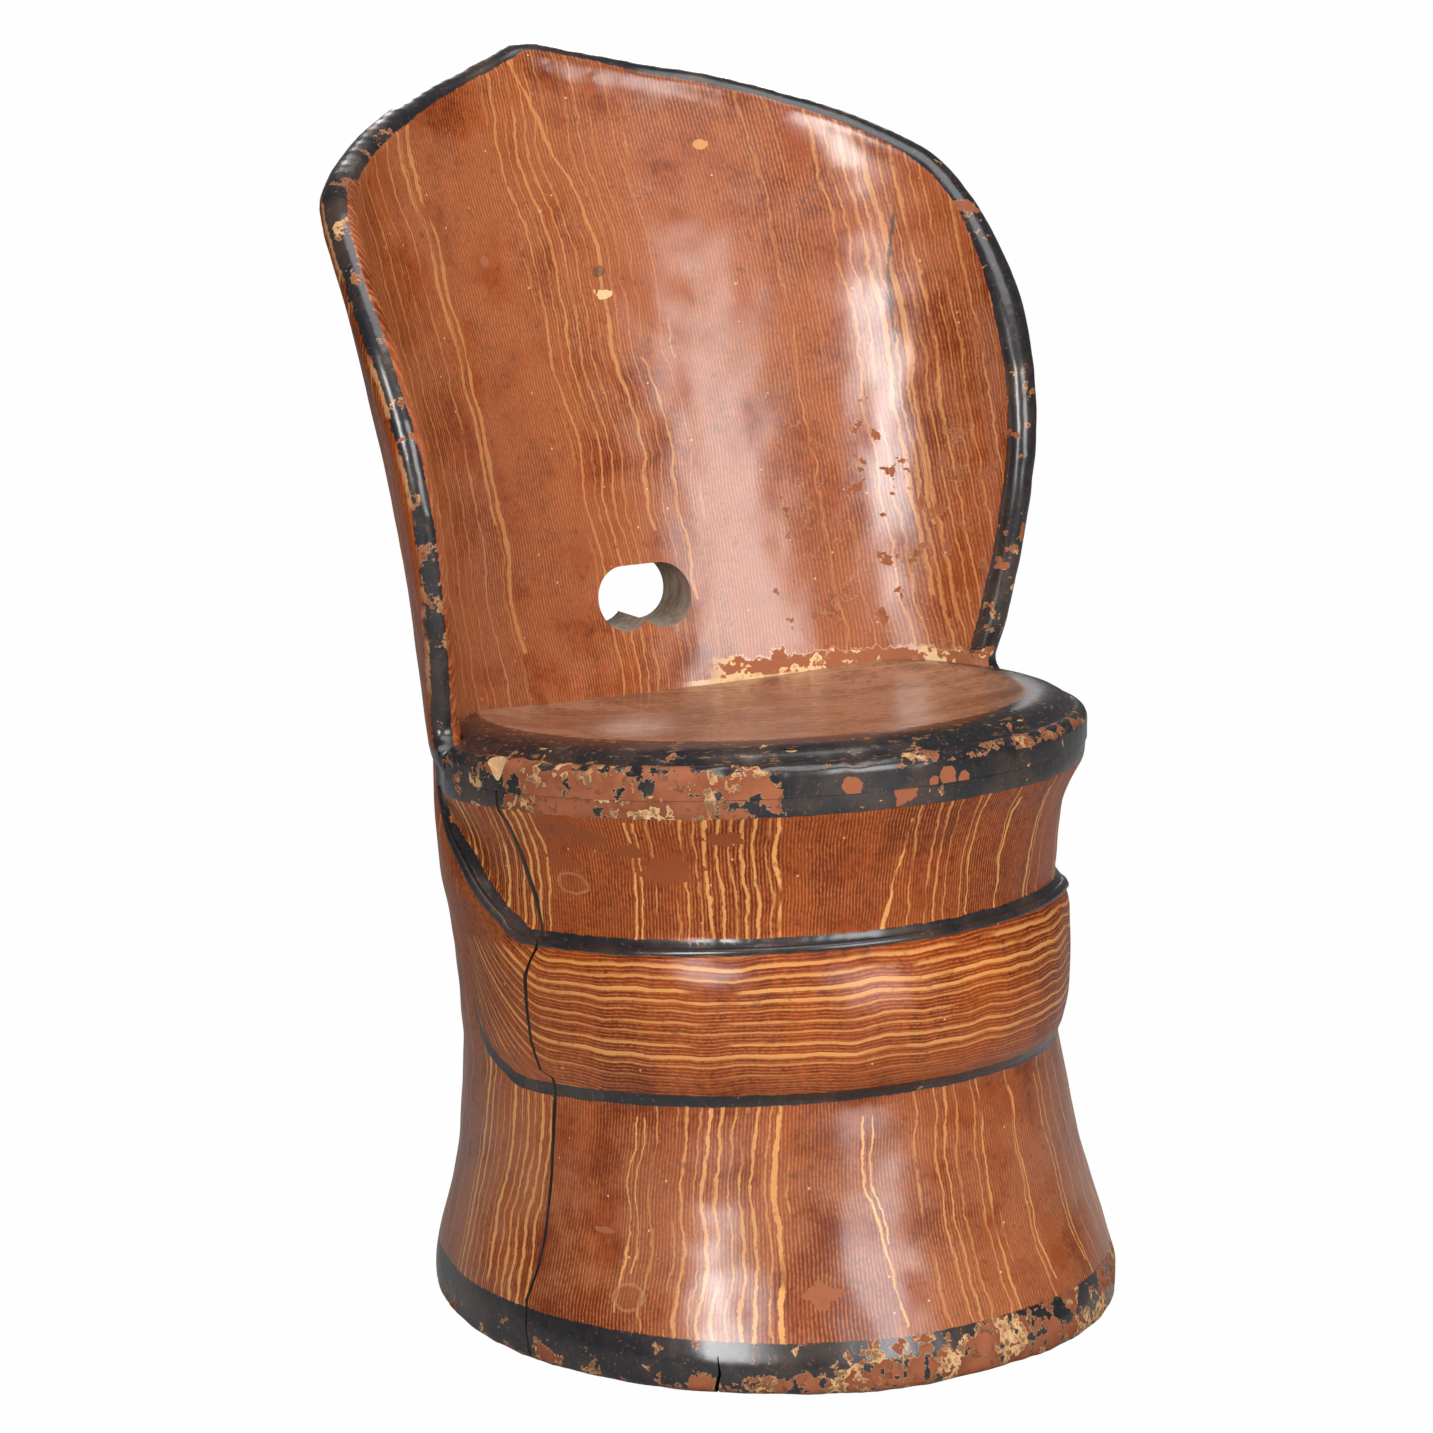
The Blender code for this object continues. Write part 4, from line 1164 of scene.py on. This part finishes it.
def logFinish(mat):
    shader = startFinish(mat)
    place, x, y, z, foot, tilted, noises = whereOnChair()
    front = turnOf(x, minus(chair["axis"], foot))
    sideways = calc("ABSOLUTE", front)
    sweepGap, creaseGap = stored("girdleGap"), stored("creaseGap")
    wander = wandering(noises, x, y, z, 5.5)
    upright = graining(front, plus(front, wander), z, 24.0, logLines, paint["logLineWidth"], logSingles)

    # across the girdle the lines lie level, and turn up at the sides
    swaying = plus(sway(vec(x, y, times(z, 0.45)), 19.0, 0.0125), about(noises["flake"], 0.0024))
    bend = calc("MAXIMUM", minus(sideways, 70.0), 0.0)
    flow = minus(plus(tilted, swaying), times(bend, bend, 0.000125))
    girdled = times(calc("LESS_THAN", sweepGap, 0.0), calc("GREATER_THAN", creaseGap, 0.0),
                    ramp(plus(sideways, about(noises["mottle"], 14.0)), 101.0, 94.0))
    across = calc("SINE", times(flow, 2 * pi / paint["combPitch"]))
    comb = fineLines(noises, mixValue(girdled, combing(noises, front, wander), across))
    band = times(ramp(tilted, 0.190, 0.200), ramp(tilted, 0.274, 0.266))
    row, along = calc("DIVIDE", flow, paint["girdlePitch"]), times(front, 0.0035)
    level = goldLines(row, 0.92, along, paint["logLineWidth"], 11.0)
    gold = mixValue(girdled, upright, times(level, plus(0.12, times(band, 0.72))))
    fillers = anySpot(place, noises, fillerSpots, 0.8)
    # paler towards the foot: partly dust, partly painted sheen
    colour = glazed(noises, comb, gold, fillers, times(ramp(z, 0.24, 0.10), 0.34))

    # black borders: the edge of the back, the rim, the girdle's two lines and the foot
    torn = tornEdge(noises)
    edge = edgeBlack(torn)
    height, gap = plus(tilted, torn), plus(sweepGap, torn)
    rim = times(beyond(height, "rimFrom"), calc("GREATER_THAN", sweepGap, 0.0),
                ramp(height, borderLines["rimTo"], borderLines["rimTo"] - 0.001))
    upper = times(under(gap, "beadTop"), beyond(gap, "beadFoot"), ramp(sideways, 118.0, 108.0))
    creaseOff = plus(calc("ABSOLUTE", plus(creaseGap, borderLines["creaseShift"])), stored("creaseFade"))
    lower = under(plus(creaseOff, times(torn, 0.6)), "crease")
    footBand = under(plus(z, times(torn, 0.8)), "foot")
    black = highest(edge, rim, upper, lower, footBand)
    arris = under(calc("ABSOLUTE", plus(stored("edgeArris"), torn)), "arris")
    rubbed = times(arris, ramp(noises["mottle"], 0.42, 0.52), ramp(z, 0.42, 0.44))

    # how much has flaked: most at the foot and on the rim's left, less on the edges
    leftRim = times(ramp(front, -22.0, -34.0), ramp(front, -96.0, -70.0))
    atFront = times(ramp(front, -50.0, -2.0), ramp(front, 110.0, 60.0), 0.38)
    footWear = plus(0.42, times(ramp(z, 0.030, 0.002), 0.32), atFront)
    chipAmount = highest(times(rim, plus(0.40, times(leftRim, 0.60))), times(footBand, footWear),
                         times(edge, wornEdge(x, z)), times(highest(upper, lower), 0.30))

    flakes = anySpot(place, noises, logFlakes, 0.6)
    woods = anySpot(place, noises, logWoods, 0.9)
    fars = [spotAt(place, about(noises["fine"], 0.5), *spot) for spot in knotSpots]
    knots = highest(*[ramp(far, 1.05, 1.0) for far in fars])
    rings = highest(*[ramp(calc("ABSOLUTE", minus(far, 1.0)), 0.16, 0.08) for far in fars])
    colour = layered(colour, (flakes, paint["primer"]), (times(rubbed, 0.8), paint["creamDark"]),
                     (times(knots, 0.45), paint["filler"]), (times(rings, 0.40), paint["creamDark"]),
                     (woods, paint["cream"]))
    bare = highest(flakes, woods)
    gloss = plus(paint["glazeRough"], about(noises["mottle"], paint["roughSpread"]))
    black = without(black, highest(bare, rubbed))
    varnish = plus(paint["thinVarnish"], times(ramp(z, 0.24, 0.12), 0.52))   # polished less on the drum
    wornFinish(shader, noises, aged(place, noises, colour), black, chipAmount, gloss, comb, bare, varnish)


def backFinish(mat):
    shader = startFinish(mat)
    place, x, y, z, foot, tilted, noises = whereOnChair()
    rear = turnOf(x, minus(foot, chair["axis"]))

    # the lines fan out downwards
    fromTop = minus(0.75, z)
    fan = mixValue(calc("GREATER_THAN", rear, 0.0), 1.36, 1.10)
    turn = minus(calc("DIVIDE", rear, plus(1.0, times(fan, fromTop))), times(fromTop, 18.0))
    wander = wandering(noises, x, y, z, 4.5)
    comb = fineLines(noises, combing(noises, turn, wander))
    gold = graining(turn, plus(turn, wander), z, 20.0, backLines, paint["backLineWidth"], backSingles)
    # a paler tone over the whole inside of the back, partly dust, partly painted sheen
    colour = glazed(noises, comb, times(gold, 0.55), 0.0, 0.26)

    # the paint has come away along the seat
    torn = tornEdge(noises)
    flakes = anySpot(place, noises, backFlakes, 0.6)
    woods = anySpot(place, noises, backWoods, 0.9)
    peelTop = plus(tilted, about(noises["flake"], 0.030))
    right = ramp(rear, 15.0, 24.0)
    peeled = times(ramp(peelTop, 0.4190, 0.4185), right)
    curled = without(times(ramp(peelTop, 0.4206, 0.4201), right), peeled)
    seam = times(ramp(plus(tilted, torn), 0.4060, 0.4050), ramp(rear, 8.0, 14.0))
    patchy = ramp(plus(noises["fine"], about(noises["mottle"], 1.4)), 0.60, 0.64)
    beneath = mixColour(patchy, paint["primer"], paint["cream"])
    pale, dark = [anySpot(place, noises, backPatches[k:k + 1], 0.5) for k in (0, 1)]
    shaky = times(plus(noises["fine"], -0.35), 0.004)
    cracks = highest(*[crackAt(place, shaky, *ends) for ends in backCracks])

    # small blisters with curled rims low down on the sitter's left
    blistered = times(ramp(rear, 26.0, 40.0), ramp(z, 0.64, 0.56))
    blisterAt = minus(0.80, times(blistered, 0.20))
    blister = ramp(noises["flake"], blisterAt, plus(blisterAt, 0.006))
    curl = without(ramp(noises["flake"], minus(blisterAt, 0.014), minus(blisterAt, 0.008)), blister)
    colour = layered(colour, (flakes, paint["primer"]), (times(curled, 0.8), paint["curled"]),
                     (peeled, beneath), (highest(woods, times(seam, 0.7)), paint["cream"]),
                     (times(pale, 0.7), paint["gold"]), (times(dark, 0.6), paint["worn"]),
                     (times(cracks, 0.85), paint["dirt"]), (times(blister, 0.8), paint["primer"]),
                     (times(curl, 0.6), paint["creamDark"]))
    bare = highest(flakes, woods, peeled, blister)
    gloss = plus(paint["glazeRough"], about(noises["mottle"], paint["roughSpread"]))
    black = without(edgeBlack(torn), bare)
    wornFinish(shader, noises, aged(place, noises, colour), black, wornEdge(x, z), gloss, comb, bare)


wood = {"rough": 0.82, "fibreScale": 260.0, "bandScale": 34.0, "grimeScale": 24.0, "dentScale": 60.0}


def rawFinish(mat, pale, dark):   # bare wood, greyed, with its fibres upright
    shader = startFinish(mat)
    place = node("TexCoord").outputs["Object"]
    x, y, z = node("SeparateXYZ", (place,)).outputs[:3]
    fibres = noiseAt(vec(x, y, times(z, 0.08)), wood["fibreScale"], 4.0, 0.65)
    bands = noiseAt(vec(x, y, times(z, 0.15)), wood["bandScale"], 3.0)
    colour = mixColour(ramp(plus(times(fibres, 0.6), times(bands, 0.4)), 0.32, 0.66), dark, pale)
    grime = times(ramp(noiseAt(place, wood["grimeScale"], 4.0), 0.5, 0.75), 0.5)
    feed(shader.inputs["Base Color"], mixColour(grime, colour, paint["dirt"]))
    shader.inputs["Roughness"].default_value = wood["rough"]
    roughen(shader, plus(times(fibres, 0.45), sway(place, wood["dentScale"], 0.8, 3.0)))


dish = {"border": 0.1895, "dull": (0.31, 0.145, 0.085), "dark": (0.17, 0.070, 0.040),
        "pale": (0.50, 0.29, 0.17), "rough": 0.58, "roughSpread": 0.25,
        "grainPitch": 0.0026, "bandPitch": 0.013, "grainTurn": 62.0}


def seatFinish(mat):
    shader = startFinish(mat)
    place, x, _, z, foot, tilted, noises = whereOnChair()
    ahead = minus(seat["middle"], foot)
    away = calc("SQRT", plus(times(x, x), times(ahead, ahead)))
    front = turnOf(x, ahead)

    # the dish: dull paint, faint lines of the graining across it
    turned = radians(dish["grainTurn"])
    over = plus(times(x, cos(turned)), times(foot, sin(turned)))
    along = minus(times(foot, cos(turned)), times(x, sin(turned)))
    bowed = plus(over, plus(times(along, along, 0.9), sway(place, 12.0, 0.016)))
    fine = plus(bowed, about(noises["flake"], 0.0012))
    comb = fineLines(noises, calc("SINE", times(fine, 2 * pi / dish["grainPitch"])))
    gold = goldLines(calc("DIVIDE", bowed, dish["bandPitch"]), 0.55, along, 0.10, 5.0)
    tone = plus(noises["drift"], plus(about(noises["mottle"], 0.9), about(noises["fine"], 0.9)))
    scuffs = ramp(noiseAt(vec(times(over, 2.5), times(along, 14.0), 0.0), 12.0, 3.0, 0.7), 0.60, 0.70)
    rubbed = times(ramp(away, 0.10, 0.17), ramp(noises["mottle"], 0.40, 0.70))
    colour = mixColour(ramp(tone, 0.36, 0.64), dish["dark"], dish["dull"])
    colour = layered(colour, (times(comb, 0.65), dish["pale"]), (times(gold, 0.90), paint["gold"]),
                     (times(scuffs, 0.60), paint["primerDark"]), (times(rubbed, 0.35), dish["pale"]))

    # the black border from the lip over the arris, worn through where hands and legs rub
    torn = times(tornEdge(noises), 2.2)
    black = ramp(plus(away, torn), dish["border"] - 0.0012, dish["border"] + 0.0006)
    side = ramp(away, 0.2262, 0.2275)
    arris = times(ramp(calc("ABSOLUTE", minus(away, 0.2250)), 0.0085, 0.003), ramp(tilted, 0.389, 0.393))
    leftFront = times(ramp(front, -20.0, -36.0), ramp(front, -104.0, -66.0))
    rightFront = times(ramp(front, -18.0, -6.0), ramp(front, 62.0, 44.0))
    chipAmount = highest(plus(0.38, times(side, times(leftFront, 0.62))),
                         times(arris, plus(0.45, times(leftFront, 0.35))),
                         times(rightFront, times(arris, 0.80)), times(ramp(away, 0.212, 0.190), 0.50))
    chips = anySpot(place, noises, rimSpots, 0.45)
    black = without(black, chips)
    scratched = noiseAt(vec(times(front, 0.010), times(away, 9.0), z), 34.0, 3.0, 0.7)
    scratched = times(ramp(scratched, 0.56, 0.68), ramp(tilted, 0.392, 0.400), times(black, 0.45))
    black = without(black, scratched)
    colour = layered(colour, (times(scratched, 2.0), paint["creamDark"]), (chips, paint["primer"]))
    gloss = plus(dish["rough"], about(noises["mottle"], dish["roughSpread"]))
    wornFinish(shader, noises, aged(place, noises, colour), black, chipAmount, gloss, comb, chips)


# bare woods: pale and dark tone
rawWoods = {"raw log wood": ((0.30, 0.22, 0.155), (0.13, 0.085, 0.055)),
            # the check's wood is near black: painted shade standing in for the dark deep in the narrow check
            "check wood in painted shade": ((0.060, 0.038, 0.024), (0.022, 0.014, 0.010)),
            "raw board wood": ((0.62, 0.40, 0.21), (0.36, 0.19, 0.085)),
            "peg wood": ((0.52, 0.34, 0.18), (0.34, 0.19, 0.09))}

addMaterials(log, "back paint")
storeLogMeasures(log)
sortFaces(log)
for name, finish in (("log paint", logFinish), ("back paint", backFinish), ("seat paint", seatFinish)):
    finish(bpy.data.materials[name])
pegWood = bpy.data.materials.new("peg wood")
for name, tones in rawWoods.items():
    rawFinish(bpy.data.materials[name], *tones)
for number in range(1, pegs["count"] + 1):
    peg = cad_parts["seat_peg_" + str(number)]
    peg.data.materials.clear()
    peg.data.materials.append(pegWood)
print("finishes made")

# Floor, light and camera
studio = {"floorColour": (0.36, 0.36, 0.36), "floorRough": 0.7, "floorSize": 120, "whiter": 0.990,
          "world": 0.11, "cameraAt": (-1.619, -2.6377, 1.053), "cameraPitch": 78.06, "cameraTurn": -32,
          "lens": 115.4, "shift": (-0.0444, -0.0056)}
# softboxes: place, the height that they point at, size and power
softboxes = {"key": ((-2.45, -2.05, 1.7), 0.5, (0.8, 1.6), 76.0),
             "front": ((0.35, -3.17, 1.5), 0.5, (1.4, 1.9), 66.0),
             "top": ((0.0, -0.8, 3.0), 0.4, (2.0, 2.0), 42.0),
             "rear": ((1.6, 3.0, 2.0), 0.4, (1.5, 1.5), 45.0)}


def floorFinish(mat):   # a pale floor that the camera sees nearly white, with a soft shadow left
    shader = startFinish(mat)
    shader.inputs["Base Color"].default_value = (*studio["floorColour"], 1)
    shader.inputs["Roughness"].default_value = studio["floorRough"]
    glow = node("Emission", ((1, 1, 1, 1), 1.0))
    seen = node("LightPath").outputs["Is Camera Ray"]
    mixed = node("MixShader", (times(seen, studio["whiter"]), shader.outputs[0], glow.outputs[0]))
    tree.links.new(mixed.outputs[0], tree.nodes["Material Output"].inputs["Surface"])


pickNone()
bpy.ops.mesh.primitive_plane_add(size=studio["floorSize"])
floor = bpy.context.object
floor.name = "floor"
floor.data.materials.append(bpy.data.materials.new("pale floor"))
floorFinish(floor.data.materials[0])

world = bpy.data.worlds.new("studio")
bpy.context.scene.world = world
world.use_nodes = True
tree = world.node_tree
soft = tree.nodes["Background"]
soft.inputs["Color"].default_value = (1, 1, 1, 1)
soft.inputs["Strength"].default_value = studio["world"]
white = node("Background", ((1, 1, 1, 1), 1.0))
shown = node("MixShader", (node("LightPath").outputs["Is Camera Ray"], soft.outputs[0], white.outputs[0]))
tree.links.new(shown.outputs[0], tree.nodes["World Output"].inputs["Surface"])

for name, (place, height, size, power) in softboxes.items():
    pickNone()
    bpy.ops.object.light_add(type="AREA", location=place)
    lamp = bpy.context.object
    lamp.name = name
    lamp.data.shape = "RECTANGLE"
    lamp.data.size, lamp.data.size_y = size
    lamp.data.energy = power
    way = Vector((0, 0, height)) - Vector(place)
    lamp.rotation_euler = way.to_track_quat("-Z", "Y").to_euler()

pickNone()
turn = (radians(studio["cameraPitch"]), 0, radians(studio["cameraTurn"]))
bpy.ops.object.camera_add(location=studio["cameraAt"], rotation=turn)
camera = bpy.context.object
camera.data.sensor_width = 36
camera.data.lens = studio["lens"]
camera.data.shift_x, camera.data.shift_y = studio["shift"]
bpy.context.scene.camera = camera
bpy.context.scene.view_settings.view_transform = "Standard"
print("studio lit")
